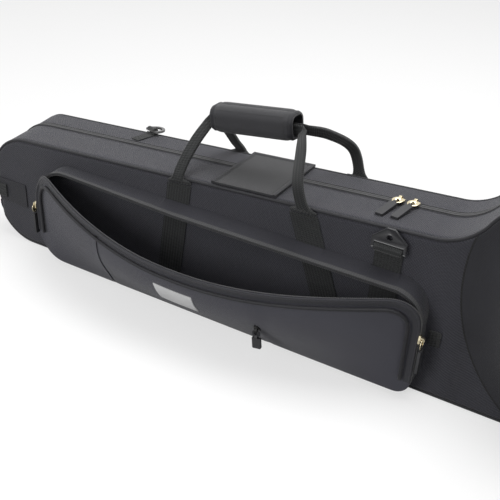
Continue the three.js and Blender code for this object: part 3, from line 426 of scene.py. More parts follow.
def weaveHeight(tree, coords, pitch):
    over = addNode(tree, "TexChecker", {"Vector": coords}, Scale=1000 / pitch).outputs[1]
    return weighted(tree, (over, waves(tree, coords, pitch, "X")),
                    (maths(tree, "SUBTRACT", 1.0, over), waves(tree, coords, pitch, "Y")))


def dress(tree, surface, colour, uneven, rough, spread, relief, depth, folds=None):
    # Colour, uneven roughness and relief; folds is a larger relief under the fine one
    tree.links.new(colour, surface.inputs["Base Color"])
    tree.links.new(maths(tree, "ADD", maths(tree, "MULTIPLY", uneven, spread), rough - spread / 2),
                   surface.inputs["Roughness"])
    bump = addNode(tree, "Bump", {"Height": relief}, Strength=1.0, Distance=depth / 1000)
    tree.links.new(bump.outputs[0], surface.inputs["Normal"])
    if folds:
        soft = noise(tree, folds["coords"], 7, 2, 0.4, stretch=(1.0, 1.0, 0.6))
        under = addNode(tree, "Bump", {"Height": soft}, Strength=1.0, Distance=folds["depth"] / 1000)
        tree.links.new(under.outputs[0], bump.inputs["Normal"])


def clothMaterial(name, dark, light, pitch, depth, rough, sheen, folds=0.0, panel=None):
    material, tree, surface, uv, own = startMaterial(name, Sheen_Weight=sheen, Sheen_Roughness=0.45,
                                                     Specular_IOR_Level=0.3)
    height = relief = weaveHeight(tree, uv, pitch)
    cloudy = noise(tree, own, 22, 4)
    tone = weighted(tree, (height, 0.55), (cloudy, 0.35), (noise(tree, own, 900, 2), 0.25))
    colour = mixColours(tree, tone, dark, light)
    if panel:
        # Beyond the curved seam the face is a smooth panel of its own cloth, painted darker as shade where the flare
        # turns from the light
        split = addNode(tree, "SeparateXYZ", {"Vector": own})
        dx, dz = [maths(tree, "SUBTRACT", split.outputs[k], panel["centre"][k] / 1000) for k in (0, 2)]
        away = maths(tree, "SQRT", weighted(tree, (dx, dx), (dz, dz)))
        inside = maths(tree, "LESS_THAN", away, panel["radius"] / 1000)
        fine = weaveHeight(tree, uv, panel["pitch"])
        plain = mixColours(tree, weighted(tree, (fine, 0.3), (cloudy, 0.7)), panel["dark"], panel["light"])
        fromSeam = maths(tree, "ABSOLUTE", maths(tree, "SUBTRACT", away, panel["radius"] / 1000))
        onSeam = maths(tree, "LESS_THAN", fromSeam, panel["seamWidth"] / 1000)
        colour = mixColours(tree, onSeam, mixColours(tree, inside, colour, plain), panel["seamColour"])
        relief = weighted(tree, (height, maths(tree, "SUBTRACT", 1.0, inside)),
                          (maths(tree, "MULTIPLY", fine, 0.3), inside))
    dress(tree, surface, colour, cloudy, rough, 0.12, relief, depth, folds and {"coords": own, "depth": folds})
    return material


def webbingMaterial(name, dark, light, rib, turn=28, depth=0.35):
    material, tree, surface, uv, own = startMaterial(name, Sheen_Weight=0.15, Sheen_Roughness=0.5,
                                                     Specular_IOR_Level=0.35)
    twist = addNode(tree, "Mapping", {"Vector": uv}, Rotation=(0, 0, radians(turn)))
    fuzz = noise(tree, own, 700, 3)
    height = weighted(tree, (waves(tree, twist.outputs[0], rib, "X"), 0.6), (waves(tree, uv, rib * 1.9, "Y"), 0.5))
    dress(tree, surface, mixColours(tree, weighted(tree, (height, 0.6), (fuzz, 0.4)), dark, light), fuzz, 0.705, 0.25,
          height, depth)
    return material


def fuzzMaterial(name, dark, light, scale, depth, rough, sheen):
    material, tree, surface, uv, own = startMaterial(name, Sheen_Weight=sheen, Specular_IOR_Level=0.2)
    nap, cloudy = noise(tree, own, scale, 4, 0.7), noise(tree, own, 30, 3)
    dress(tree, surface, mixColours(tree, weighted(tree, (nap, 0.6), (cloudy, 0.4)), dark, light), cloudy, rough, 0.1,
          nap, depth)
    return material


def hardMaterial(name, dark, light, rough, metallic=0.0, grain=900, stretch=None, depth=0.01, spread=0.12):
    material, tree, surface, uv, own = startMaterial(name, Metallic=metallic)
    fine = noise(tree, own, grain, 3, 0.6, stretch)
    dress(tree, surface, mixColours(tree, noise(tree, own, 45, 2), dark, light), fine, rough, spread, fine, depth)
    return material


def grey(value, cool=0.0):
    return (value, value, value * (1 + cool))


# The bell panel's tones are partly its own smooth cloth and partly painted shade: darker because the flare faces away
# from the light
shadedBellPanel = {
    "centre": (flareSizes["seamAt"] + flareSizes["seamRadius"], 0, flareSizes["seamHeight"]),
    "radius": flareSizes["seamRadius"], "pitch": 0.9, "seamWidth": 1.1,
    "dark": grey(0.010, 0.28), "light": grey(0.024, 0.24), "seamColour": grey(0.003),
}
# Name, dark and light tone, pitch of the weave, its depth, roughness, sheen
ballistic = clothMaterial("ballisticWeave", grey(0.007, 0.4), grey(0.046, 0.3), 1.9, 0.7, 0.66, 0.2)
faceCloth = clothMaterial("faceWeave", grey(0.007, 0.4), grey(0.045, 0.3), 1.9, 0.6, 0.66, 0.2, panel=shadedBellPanel)
smoothCloth = clothMaterial("flapCloth", grey(0.030, 0.28), grey(0.060, 0.28), 0.8, 0.14, 0.52, 0.2, folds=4.0)
gussetCloth = clothMaterial("gussetCloth", grey(0.006, 0.4), grey(0.024, 0.35), 0.8, 0.14, 0.6, 0.15, folds=5.0)
gripCloth = clothMaterial("gripCloth", grey(0.010, 0.15), grey(0.038, 0.12), 0.9, 0.2, 0.55, 0.2, folds=4.0)
trimCloth = clothMaterial("trimCloth", grey(0.005, 0.2), grey(0.022, 0.2), 0.7, 0.12, 0.5, 0.1)
tapeCloth = clothMaterial("zipperTape", grey(0.016, 0.2), grey(0.036, 0.2), 0.7, 0.12, 0.66, 0.2)
# Near black in the zipper tape's groove: painted shade in the recess
grooveShadeCloth = clothMaterial("seamGrooveShade", grey(0.003), grey(0.008), 0.8, 0.1, 0.9, 0.0)
patchCloth = clothMaterial("patchWeave", grey(0.005, 0.3), grey(0.026, 0.3), 1.3, 0.4, 0.62, 0.15)
webbing = webbingMaterial("strapWebbing", (0.0015, 0.0017, 0.0018), (0.020, 0.0215, 0.022), 2.3, depth=0.9)
closureCloth = webbingMaterial("closureRibs", grey(0.004, 0.1), grey(0.040, 0.1), 1.5, depth=0.45)
coilCloth = webbingMaterial("zipperCover", grey(0.020, 0.05), grey(0.062, 0.05), 1.7, turn=0, depth=0.3)
thread = fuzzMaterial("sewingThread", grey(0.02), grey(0.06), 2200, 0.05, 0.7, 0.1)
plush = fuzzMaterial("linedPlush", grey(0.008), grey(0.028, 0.1), 1600, 0.6, 0.95, 0.6)
foamCloth = fuzzMaterial("restCloth", grey(0.012), grey(0.034), 1200, 0.4, 0.9, 0.5)
plastic = hardMaterial("ringPlastic", grey(0.022, 0.1), grey(0.036, 0.1), 0.34, grain=700, depth=0.03)
greyPlastic = hardMaterial("greyRingPlastic", grey(0.11), grey(0.17), 0.36, grain=700, depth=0.03)
rubber = hardMaterial("pullRubber", grey(0.018, 0.1), grey(0.034, 0.1), 0.5, grain=1500, depth=0.04)
nylon = hardMaterial("zipperTeeth", grey(0.05), grey(0.11), 0.3)
gold = hardMaterial("paleGold", (0.74, 0.64, 0.42), (0.86, 0.78, 0.58), 0.22, metallic=1.0)
blackMetal = hardMaterial("blackMetal", grey(0.014), grey(0.026), 0.3, metallic=0.6)
plateMetal = hardMaterial("plateMetal", grey(0.62), grey(0.80), 0.4, metallic=0.25, grain=260,
                          stretch=(1.0, 14.0, 14.0), depth=0.015, spread=0.2)
print("materials made")

# Padded halves: steps over the top, round an edge and down the face, then steps along the case
halfDetail = {"top": 12, "arc": 8, "face": 26, "end": 18, "plain": 44, "shoulder": 40, "bell": 12}
faceFrom = halfDetail["top"] + halfDetail["arc"] // 2
faceTo = faceFrom + halfDetail["arc"] + halfDetail["face"]
# The zipper plane's share of the way from the back edge of the top face to its front edge
splitShare = (caseSizes["backDepth"] - caseSizes["edgeRadius"]) / (
    caseSizes["backDepth"] + caseSizes["frontDepth"] - 2 * caseSizes["edgeRadius"])


def sectionPoints(x, side, inset, crease):
    # One half's outline at x: from the split over the top, down the face and back under to the split
    c, detail = caseSizes, halfDetail
    left, right = x + half - inset, half - inset - x
    bellInset = cornerInset(right, c["bellCorner"] - inset)
    tops = [topAt(x) - inset - cornerInset(left, c[key] - inset) - bellInset
            for key in ("topCornerFront", "topCornerBack")]
    top = tops[0] if side < 0 else tops[1]
    bottom = inset + cornerInset(left, c["bottomCorner"] - inset) + bellInset
    plan = cornerInset(left, c["planCorner"] - inset) + cornerInset(right, c["planCorner"] - inset)
    radius = max(c["edgeRadius"] - inset, c["edgeRadius"] / 3)
    high, low, split = top - radius, bottom + radius, c["splitHalf"]
    topSplit = lerp(tops[1], tops[0], splitShare)

    def reach(z):
        return sideAt(x, z, side) - inset - plan

    def edge(level, start):
        spots = []
        for turn in [90 * s for s in sharesOf(detail["arc"])]:
            r = radius - crease * hump(turn - 45, c["creaseSpread"])
            angle = radians(start + turn)
            spots.append((reach(level) - radius + r * sin(angle), level + r * cos(angle)))
        return spots

    shares = sharesOf(detail["top"])
    face = [lerp(high, low, s) for s in sharesOf(detail["face"])[1:-1]]
    points = [(lerp(split, reach(high) - radius, s), lerp(topSplit, top, s)) for s in shares[:-1]] + edge(high, 0) \
        + [(reach(z), z) for z in face] + edge(low, 90) \
        + [(lerp(reach(low) - radius, split, s), bottom) for s in shares[1:]]
    return [at(x, side * y, z) for y, z in points]


def halfStations(inset):
    d, bellCorner = halfDetail, caseSizes["bellCorner"]
    roundEnd = caseSizes["topCornerFront"] - inset
    stations = [inset - half + roundEnd * (1 - cos(s * pi / 2)) for s in sharesOf(d["end"])]
    start, neck, bellEnd = stations[-1], shoulderSizes["start"], half - bellCorner
    stations += [lerp(start, neck, s) for s in sharesOf(d["plain"])[1:-1]]
    stations += [lerp(neck, bellEnd, s) for s in sharesOf(d["shoulder"])]
    return stations + [bellEnd + (bellCorner - inset) * sin(s * pi / 2) for s in sharesOf(d["bell"])[1:]]


def halfShell(name, side, outer, inner, crease):
    # Outer and inner skin of one half, each closed at its ends, joined along the split
    skins = [[sectionPoints(x, side, inset, fold) for x in halfStations(inset)]
             for inset, fold in ((outer, crease), (inner, 0.0))]
    count, last = len(skins[0][0]), len(skins[0]) - 1
    skin = (last + 1) * count
    pairs = [(i * count + j, (i + 1) * count + j) for i in range(last) for j in (0, count - 1)]
    caps = [range(base + row * count, base + (row + 1) * count) for base in (0, skin) for row in (0, last)]
    ends = [(row * count, row * count + count - 1) for row in (0, last)]
    faces = [(a, b, b + skin, a + skin) for a, b in pairs] + caps + [(a, b, b + skin, a + skin) for a, b in ends]
    mesh = joinMeshes(name, [gridMesh(name, rows) for rows in skins])
    with editing(mesh) as bm:
        bm.verts.ensure_lookup_table()
        layer = bm.loops.layers.uv.active
        for face in faces:
            for corner in bm.faces.new([bm.verts[k] for k in face]).loops:
                corner[layer].uv = corner.vert.co.yz
    return mesh


across = 2 * halfDetail["top"] + 2 * halfDetail["arc"] + halfDetail["face"]
outerFaces = (len(halfStations(0)) - 1) * across
for side, which, depth in halves:
    body = which + "_shell"
    mesh = halfShell(which + "Padded", side, 0.0, caseSizes["wall"], caseSizes["crease"])
    piece = addPiece(which + "_padded_half", mesh, [ballistic, faceCloth], body, body, "ballistic_weave", sharp=50)
    setFinish(mesh, lambda k: int(k < outerFaces and faceFrom <= k % across < faceTo))
    gap = caseSizes["wall"] + liningSizes["play"]
    lined = halfShell(which + "Lined", side, gap, gap + liningSizes["thickness"], 0.0)
    addPiece(which + "_plush", lined, plush, body, which + "_lining", "plush", sharp=50)
print("padded halves and linings made")

# Piping on the edges of the faces
pipingSizes = {"radius": 2.4, "gap": 6, "patchLow": 65.7, "patchHigh": 106.3, "patchGap": 2}


def edgePath(side):
    # Round the edge of one face; on the front it starts and ends at the end handle's patch
    bevel = caseSizes["planCorner"] * (1 - sqrt(0.5))
    stations = [x for x in halfStations(0) if abs(x) < half - 2 * bevel]
    runs = [sectionPoints(x, side, 0.0, 0.0)[faceFrom:faceTo + 1] for x in [bevel - half] + stations + [half - bevel]]
    leftRun = runs[0][::-1]
    over = [run[0] for run in runs[1:-1]] + runs[-1]
    under = [run[-1] for run in runs[-2:0:-1]]
    if side > 0:
        middle = [i for i, p in enumerate(under) if p.x < 0][0]
        return under[middle:] + leftRun + over + under[:middle]
    high, low, gap = [pipingSizes[key] / 1000 for key in ("patchHigh", "patchLow", "patchGap")]
    start, end = [Vector((leftRun[1].x, leftRun[1].y, z)) for z in (high, low)]
    return [start] + [p for p in leftRun if p.z > high + gap] + over + under \
        + [p for p in leftRun if p.z < low - gap] + [end]


for side, which, depth in halves:
    mesh = tubeMesh(which + "Piping", evenPoints(edgePath(side), pipingSizes["gap"] / 1000), pipingSizes["radius"])
    addPiece(which + "_piping_cord", mesh, trimCloth, which + "_shell", which + "_piping", "trim")

# Main zipper: a covered tape on each half, over both ends and the top
zipperSizes = {"endHeight": 60, "leftSteps": 12, "rightSteps": 14}
# Across the tape: distance from the split, height over the cloth; then the finish of each face
tapeProfile = [(0.3, 0.5), (0.45, 1.15), (1.4, 1.4), (3.3, 1.35), (4.1, 1.1), (4.3, 0.45), (5.7, 0.42), (6.0, 0.95),
               (6.9, 0.8), (7.0, 0.4), (3.2, 0.33)]
# Finish 1, on the groove's walls and floor, is painted shade; 2 is the covered coil, 0 the tape
tapeFinish = (2, 2, 2, 2, 1, 1, 1, 0, 0, 0, 0)


def bandPath():
    # Middle line of the case in the zipper plane
    c, z = caseSizes, zipperSizes
    top = []
    for x in halfStations(0):
        corners = [cornerInset(x + half, c[key]) for key in ("topCornerBack", "topCornerFront")]
        top.append(at(x, 0, topAt(x) - lerp(*corners, splitShare) - cornerInset(half - x, c["bellCorner"])))
    left, right = [Vector((p.x, p.y, z["endHeight"] / 1000)) for p in (top[0], top[-1])]
    return [left.lerp(top[0], s) for s in sharesOf(z["leftSteps"])[:-1]] + top \
        + [top[-1].lerp(right, s) for s in sharesOf(z["rightSteps"])[1:]]


band = bandPath()
bandOut = [heading(band, i).cross(Vector((0, 1, 0))).normalized() for i in range(len(band))]
bandFaces = (len(band) - 1) * len(tapeProfile)
for side, which, depth in halves:
    rows = [[p + Vector((0, side * y / 1000, 0)) + n * (h / 1000) for y, h in tapeProfile]
            for p, n in zip(band, bandOut)]
    mesh = ringMesh(which + "Tape", rows)
    addPiece(which + "_zipper_lip", mesh, [tapeCloth, grooveShadeCloth, coilCloth], which + "_shell",
             which + "_zipper_tape", "trim", sharp=60)
    setFinish(mesh, lambda k: tapeFinish[k % len(tapeProfile)] if k < bandFaces else 0)
print("piping and zipper made")

# Webbing sewn on the faces
strapSizes = {"width": 38, "thickness": 1.8, "bottom": 12, "anchorDrop": 10, "play": 0.3, "sewn": 22,
              "sewnDrop": 3.0, "sewnInset": 3.5, "thread": 0.05, "steps": 24, "columns": 8}
strapSkin = strapSizes["play"] + strapSizes["thickness"] + strapSizes["thread"]
# Side, place along the case, lean in degrees, bulge of the handle's leg above it
straps = {"front": (("left", -107, -7, 0), ("right", 82, 20, 10)),
          "back": (("left", -86, -5, -3), ("right", 102, 5, 12))}
ringTab = {"x": 200, "width": 36, "drop": 27, "bottom": 88, "radius": 5.6, "bore": 3.4, "lift": 0.5, "sewn": 20}


def strapTop(x):
    return topAt(x) - strapSizes["anchorDrop"]


def addWebbing(name, mesh, body, node):
    addPiece(name, mesh, webbing, body, node, "webbing", sharp=60)


def sheetRows(steps, columns, place):
    return [[place(u, v) for v in sharesOf(columns)] for u in sharesOf(steps)]


def faceStrip(name, x, side, lean, top, bottom, width):
    # Webbing flat on a face, its upper end cut along the case's slope
    depth = caseSizes["frontDepth"] if side < 0 else caseSizes["backDepth"]
    near = side * (depth + strapSizes["play"] + strapSizes["thickness"] / 2)
    spread, level = tan(radians(lean)), width / cos(radians(lean))

    def place(u, v):
        across = (v - 0.5) * level
        z = lerp(bottom, top + slope * across, u)
        return at(x + across + spread * (top - z), near, z)

    rows = sheetRows(strapSizes["steps"], strapSizes["columns"], place)
    return softStrip(name, rows, strapSizes["thickness"], lambda i, j: Vector((0, side, 0)))


def crossStitches(name, corners, out, body):
    # A sewn square with a cross, as webbing is fastened
    for k, line in enumerate(([*corners, corners[0]], corners[::2], corners[1::2])):
        stitchRow(name + "_%d" % k, line, out, body, "webbing")


def boxStitches(name, x, side, lean, near, top, width, height, body):
    above, reach = strapSizes["sewnDrop"], width / 2 - strapSizes["sewnInset"]
    corners = [at(x + across + tan(radians(lean)) * down, side * near, top - down) for across, down in (
        (-reach, above), (reach, above), (reach, above + height), (-reach, above + height))]
    crossStitches(name, corners, Vector((0, side, 0)), body)


for side, which, depth in halves:
    for hand, x, lean, bulge in straps[which]:
        name, body = "%s_strap_%s" % (which, hand), which + "_shell"
        mesh = faceStrip(name, x, side, lean, strapTop(x), strapSizes["bottom"], strapSizes["width"])
        addWebbing(name + "_webbing", mesh, body, name)
        boxStitches(name + "_stitches", x, side, lean, depth + strapSkin, strapTop(x), strapSizes["width"],
                    strapSizes["sewn"], body)

# Handle: two webbing loops in a padded grip
handleSizes = {
    "gripCentre": -20, "gripSide": -12, "gripHeight": 77, "gripTilt": 3.5, "slotDrop": 5, "slotPlay": 1.3,
    "legThickness": 3, "foldedWidth": 15, "foldedThickness": 7, "anchorPlay": 2.4, "clear": 5.4, "riseShare": 0.2,
    "runShare": 0.6, "foldShare": 0.35, "leaveShare": 0.75, "legSteps": 40, "around": 20, "sidePower": 0.35,
    "facePower": 0.6, "dip": 0.5, "dipWidth": 4,
}
gripSizes = {
    "length": 124, "radius": 18, "corner": 13, "wrap": 5.0, "puff": 1.2, "puffEnd": 16, "puffSides": 8,
    "join": 0.15, "bindingWidth": 6, "dip": 0.9, "dipWidth": 1.6, "endRound": 1.6, "endReach": 2.5,
    "underRound": 0.4, "steps": 36, "bound": 2, "flatSteps": 6, "bendSteps": 8, "seamInset": 11, "seamLift": 0.2,
    "seamTurns": (0.1, 14, 28, 42),
}


def inGrip(along, y, up):
    # A spot in the tilted grip, in the plane of the top face: along its length and up from its middle line
    tilt = radians(handleSizes["gripTilt"])
    return Vector((handleSizes["gripCentre"] + along * cos(tilt) - up * sin(tilt), y,
                   handleSizes["gripHeight"] + along * sin(tilt) + up * cos(tilt)))


def handleLeg(anchorX, bulge, side, depth):
    h = handleSizes
    edge = side * (depth + strapSizes["play"] + h["legThickness"] / 2)
    sign = -1 if anchorX < h["gripCentre"] else 1
    plane = h["gripSide"] + side * (h["legThickness"] / 2 + h["slotPlay"])
    mouth, hold = [inGrip(sign * (gripSizes["length"] + more) / 2, plane, -h["slotDrop"])
                   for more in (0, h["foldedWidth"])]
    top = Vector((anchorX, edge, 0))

    def between(share, out, up):
        return top.lerp(hold, share) + Vector((0, side * out, up))

    low = h["anchorPlay"] - strapSizes["anchorDrop"]
    points = [Vector((anchorX, edge, low + h["anchorPlay"])), between(0, h["clear"] / 2, 0),
              between(h["riseShare"], h["clear"] + bulge, h["clear"] + bulge),
              between(h["runShare"], h["clear"], h["clear"] + bulge), hold]
    return [Vector((anchorX, edge, low))] + splinePoints(points, h["legSteps"]) + [mouth]


def handleLoop(name, left, right, side, depth):
    h = handleSizes
    spots = handleLeg(*left, side, depth) + handleLeg(*right, side, depth)[::-1]
    last = len(spots) - 1
    facing = Vector((0, side, 0))
    rows = []
    for i, spot in enumerate(spots):
        along = heading(spots, i)
        outward = (facing - along * facing.dot(along)).normalized()
        across = outward.cross(along)
        nearest = 2 * min(i / last, 1 - i / last)
        folded = min(nearest / h["foldShare"], 1)
        shown = folded * (1 - smooth((nearest - h["leaveShare"]) / (1 - h["leaveShare"])))
        thick = lerp(h["legThickness"], h["foldedThickness"], shown)
        width = lerp(strapSizes["width"], h["foldedWidth"], smooth(folded))
        ring = []
        for j in range(h["around"]):
            c, s = [way(2 * pi * j / h["around"]) for way in (cos, sin)]
            wide = copysign(abs(c) ** h["sidePower"], c) * width / 2
            deep = copysign(abs(s) ** h["facePower"], s) * thick / 2
            # where it is folded, the outer layer shows a lengthwise dip between its two edges
            deep -= copysign(h["dip"] * shown * hump(wide, h["dipWidth"]), s) if s else 0
            ring.append(onTop(*(spot + across * wide + outward * deep)))
        rows.append(ring)
    return ringMesh(name, rows)


for side, which, depth in halves:
    left, right = [(x, bulge) for hand, x, lean, bulge in straps[which]]
    mesh = handleLoop(which + "Loop", left, right, side, depth)
    addPiece(which + "_handle_webbing", mesh, webbing, which + "_handle", which + "_handle_loop", "webbing")


def gripOutline():
    # Half the grip's section from top to bottom: across, up and the direction outward
    g = gripSizes
    flat = g["radius"] - g["corner"]

    def bend(start, level):
        turns = [radians(start + 90 * s) for s in sharesOf(g["bendSteps"])[1:]]
        return [(flat + g["corner"] * sin(t), level + g["corner"] * cos(t), sin(t), cos(t)) for t in turns]

    shares = sharesOf(g["flatSteps"])
    return [(lerp(g["join"], flat, s), g["radius"], 0.0, 1.0) for s in shares] + bend(0, flat) \
        + [(g["radius"], lerp(flat, -flat, s), 1.0, 0.0) for s in shares[1:]] + bend(90, -flat) \
        + [(lerp(flat, g["join"], s), -g["radius"], 0.0, -1.0) for s in shares[1:]]


def gripHalf(name, side, outline):
    # Half a padded wrap: a thick panel bent round the webbing, puffed between its bound edges
    g = gripSizes
    last = len(outline) - 1
    rows = []
    for u in sharesOf(g["steps"]):
        along = (u - 0.5) * g["length"]
        edge = min(u, 1 - u) * g["length"]
        crown = smooth(edge / g["puffEnd"]) * g["puff"] - g["dip"] * hump(edge - g["bindingWidth"], g["dipWidth"])
        roundEnd = g["endRound"] * (1 - sqrt(max(0.0, 1 - (1 - min(edge / g["endReach"], 1)) ** 2)))
        outer, inner = [], []
        for k, (y, z, ny, nz) in enumerate(outline):
            lift = crown * smooth(min(k, last - k) / last * g["puffSides"]) - roundEnd
            under = max(y - ny * g["wrap"], g["join"]) + ny * roundEnd * g["underRound"]
            outer.append(onTop(*inGrip(along, handleSizes["gripSide"] + side * (y + ny * lift), z + nz * lift)))
            inner.append(onTop(*inGrip(along, handleSizes["gripSide"] + side * under,
                                       z - nz * (g["wrap"] - roundEnd * g["underRound"]))))
        rows.append(outer + inner[::-1])
    return ringMesh(name, rows)


outline = gripOutline()
ringCount, boundTo = 2 * len(outline), gripSizes["steps"] - gripSizes["bound"]
for side, which, depth in halves:
    mesh = gripHalf(which + "Grip", side, outline)
    piece = addPiece(which + "_grip_pad", mesh, [gripCloth, trimCloth], which + "_handle", "grip_%s_half" % which,
                     "smooth_cloth", sharp=70)
    setFinish(mesh, lambda k: int(k < gripSizes["steps"] * ringCount
                                  and not gripSizes["bound"] <= k // ringCount < boundTo))


def gripSeam(along, turn):
    # A spot on the front half's skin; turn is degrees up or down from its flat face
    flat, angle = gripSizes["radius"] - gripSizes["corner"], radians(turn)
    reach = gripSizes["corner"] + gripSizes["puff"] + gripSizes["seamLift"]
    up = copysign(flat, turn) + reach * sin(angle)
    return onTop(*inGrip(along, handleSizes["gripSide"] - flat - reach * cos(angle), up))


seamEnd = gripSizes["length"] / 2 - gripSizes["seamInset"]
endTurns = sorted(way * turn for way in (-1, 1) for turn in gripSizes["seamTurns"])
seams = [("grip_seam_%d" % k, [gripSeam(lerp(-seamEnd, seamEnd, s), way * endTurns[-1]) for s in sharesOf(20)],
          Vector((0, -0.74, way * 0.67))) for k, way in enumerate((-1, 1))]
seams += [("grip_end_seam_%d" % k, [gripSeam(way * seamEnd, turn) for turn in endTurns], Vector((0, -1, 0)))
          for k, way in enumerate((-1, 1))]
for name, line, out in seams:
    stitchRow(name, line, out, "front_handle", "smooth_cloth", pitch=3.6, length=2.5, width=0.7)
print("straps and handle made")

# Flap over the zipper
closureSizes = {"left": -58, "right": 40, "front": -67, "back": 49, "low": 1.75, "thickness": 2.2, "binding": 6,
                "bound": 1.5, "dip": 0.6, "dipPlace": 0.8, "dipWidth": 0.9, "edgeEase": 1.2, "edgeShare": 0.72,
    "columns": 49, "lines": 58, "seamIn": 1.6}


def slabMesh(name, place, edgeOf, columns, lines):
    # A closed slab: place(u, v, n, edge) gives a point, n is 1 on its top and 0 on its underside
    def line(u, n):
        return [place(u, v, n, edgeOf(u, v)) for v in sharesOf(lines)]

    return ringMesh(name, [line(u, 1.0) + line(u, 0.0)[::-1] for u in sharesOf(columns)])


def closurePlace(u, v, n, edge):
    c = closureSizes
    full = lerp(c["edgeShare"], 1, sqrt(min(1.0, edge / c["edgeEase"])))
    bound = c["bound"] * smooth((c["binding"] - edge) / c["edgeEase"])
    dip = c["dip"] * hump(edge - c["binding"] - c["dipPlace"], c["dipWidth"])
    height = c["low"] + c["thickness"] / 2 + (n - 0.5) * (c["thickness"] * full + bound - dip)
    return onTop(lerp(c["left"], c["right"], u), lerp(c["front"], c["back"], v), height)


def closureEdge(u, v):
    c = closureSizes
    return min(min(u, 1 - u) * (c["right"] - c["left"]), (1 - v) * (c["back"] - c["front"]))


def closureFinish(k):
    # Bound in trim along its edges, and on the two end faces
    columns, lines = closureSizes["columns"], closureSizes["lines"]
    i, j = divmod(k, 2 * (lines + 1))
    v = (min(j, 2 * lines - j) + 0.5) / lines
    return int(i >= columns or closureEdge((i + 0.5) / columns, clamp(v)) < closureSizes["binding"])


mesh = slabMesh("closureSlab", closurePlace, closureEdge, closureSizes["columns"], closureSizes["lines"])
closure = addPiece("closure_flap_cloth", mesh, [closureCloth, trimCloth], "closure_flap", "closure_flap", "webbing",
                   sharp=60)
setFinish(mesh, closureFinish)
inset = closureSizes["binding"] + closureSizes["seamIn"]
leftX, rightX, backY = closureSizes["left"] + inset, closureSizes["right"] - inset, closureSizes["back"] - inset
line = [onTop(x, y, closureSizes["low"] + closureSizes["thickness"] + 0.05) for x, y in (
    (leftX, closureSizes["front"] + 1), (leftX, backY), (rightX, backY), (rightX, closureSizes["front"] + 1))]
stitchRow("closure_flap_stitches", line, Vector((0, 0, 1)), "closure_flap", "trim", pitch=3.6, length=2.4)

# Pocket on the front face
pocketSizes = {
    "left": -354, "right": 261, "bottom": 9.5, "top": 166, "topLeftRadius": 58, "topRightRadius": 42,
    "bottomLeftRadius": 46, "bottomRightRadius": 22, "depth": 24, "droop": 9.5, "droopEnd": -100, "wall": 2,
    "cloth": 2.4, "bowLow": 46, "bowHigh": 4, "bowPower": 2.1, "bendStart": 45, "bendEnd": 160, "bowLeft": 10,
    "bowRight": 4, "bowSlices": 12, "tapeWidth": 9, "tapeThickness": 1.2, "tapePlay": 0.8, "slitTop": -180,
    "slitBottom": -208, "edgeTop": 70, "edgeBottom": 62, "pipingInset": 13, "turnSteps": 14, "sag": 1.6, "lap": 1.7,
    "sagEnds": 60, "underStrap": 0.5, "cut": 0.25, "cutReach": 200, "cutPinch": 0.5, "edgePinch": 0.4,
    "pinchWidth": 3, "lapFrom": 0.94, "lapEnds": 20, "stitchInset": 18.5, "toothInset": 2.3, "toothReach": 0.9,
    "toothSink": 0.4, "thread": 0.1, "play": 0.3, "coverPlay": 0.6, "wallPlay": 0.05, "leanAt": 140,
    "tapeInset": 0.35, "tapeEdge": 0.2, "tapeUnder": 0.7,
    "panelSteps": 34, "panelRows": 20, "loopSteps": 40, "runSteps": 60, "feetSteps": 10,
}
p = pocketSizes
faceY = -caseSizes["frontDepth"] - p["play"]
mouthY = -caseSizes["frontDepth"] - p["depth"]
flapY = mouthY - p["play"]


def pocketSpan(x, inset, mouthShare):
    # Floor and roof at x, the roof drooping towards the mouth
    left, right = x - p["left"] - inset, p["right"] - inset - x
    roof = p["top"] - inset - p["droop"] * clamp((x - p["left"]) / (p["droopEnd"] - p["left"])) * mouthShare

    def corner(reach, key):
        return cornerInset(reach, max(p[key] - inset, inset))

    return (p["bottom"] + inset + corner(left, "bottomLeftRadius") + corner(right, "bottomRightRadius"),
            roof - corner(left, "topLeftRadius") - corner(right, "topRightRadius"))


def pocketStations(inset, between, extra=()):
    left, right = p["left"] + inset, p["right"] - inset
    reachLeft = max(p["topLeftRadius"], p["bottomLeftRadius"]) - inset
    reachRight = max(p["topRightRadius"], p["bottomRightRadius"]) - inset
    angles = [s * pi / 2 for s in sharesOf(p["turnSteps"])]
    middle = [lerp(left + reachLeft, right - reachRight, s) for s in sharesOf(between)[1:-1]]
    return [left + reachLeft * (1 - cos(a)) for a in angles] + sorted(middle + list(extra)) \
        + [right - reachRight * (1 - sin(a)) for a in angles]


def strapCentres(z):
    # Middle and half width of each strip of webbing that runs under the pocket's roof
    centres = [(x + tan(radians(lean)) * (strapTop(x) - z), strapSizes["width"] / 2)
               for hand, x, lean, bulge in straps["front"]]
    return centres + [(ringTab["x"], ringTab["width"] / 2)]


strapEdges = []
for (centre, reach), more in zip(strapCentres(p["top"]), (1.4, 1.4, 1.2)):
    strapEdges += [centre + way * (reach + over)
                   for way, over in ((-1, more), (-1, more - 1), (1, more - 1), (1, more))]


def gussetLoop(share, inset):
    # The pocket wall's outline, share of the way from the case's face to the mouth
    loop = []
    stations = pocketStations(0, p["loopSteps"], strapEdges)
    sag = p["sag"] * sin(pi * share)
    width, middle = (p["right"] - p["left"]) / 2, (p["right"] + p["left"]) / 2
    for x0, upper in [(x, True) for x in stations] + [(x, False) for x in reversed(stations)]:
        x = middle + (x0 - middle) * (1 - inset / width)
        low, high = pocketSpan(x0, 0, share)
        z = high if upper else low
        centre = (low + high) / 2
        z += copysign(inset, centre - z) if abs(z - centre) > inset else 0
        if upper:
            z -= sag * smooth((x0 - p["left"]) / p["sagEnds"]) * smooth((p["right"] - x0) / p["sagEnds"])
        covered = upper and any(abs(x - c) < reach + p["coverPlay"] for c, reach in strapCentres(z))
        start = faceY - (strapSizes["thickness"] + p["underStrap"] if covered else p["wallPlay"])
        loop.append(at(x, lerp(start, mouthY, share), z))
    return loop


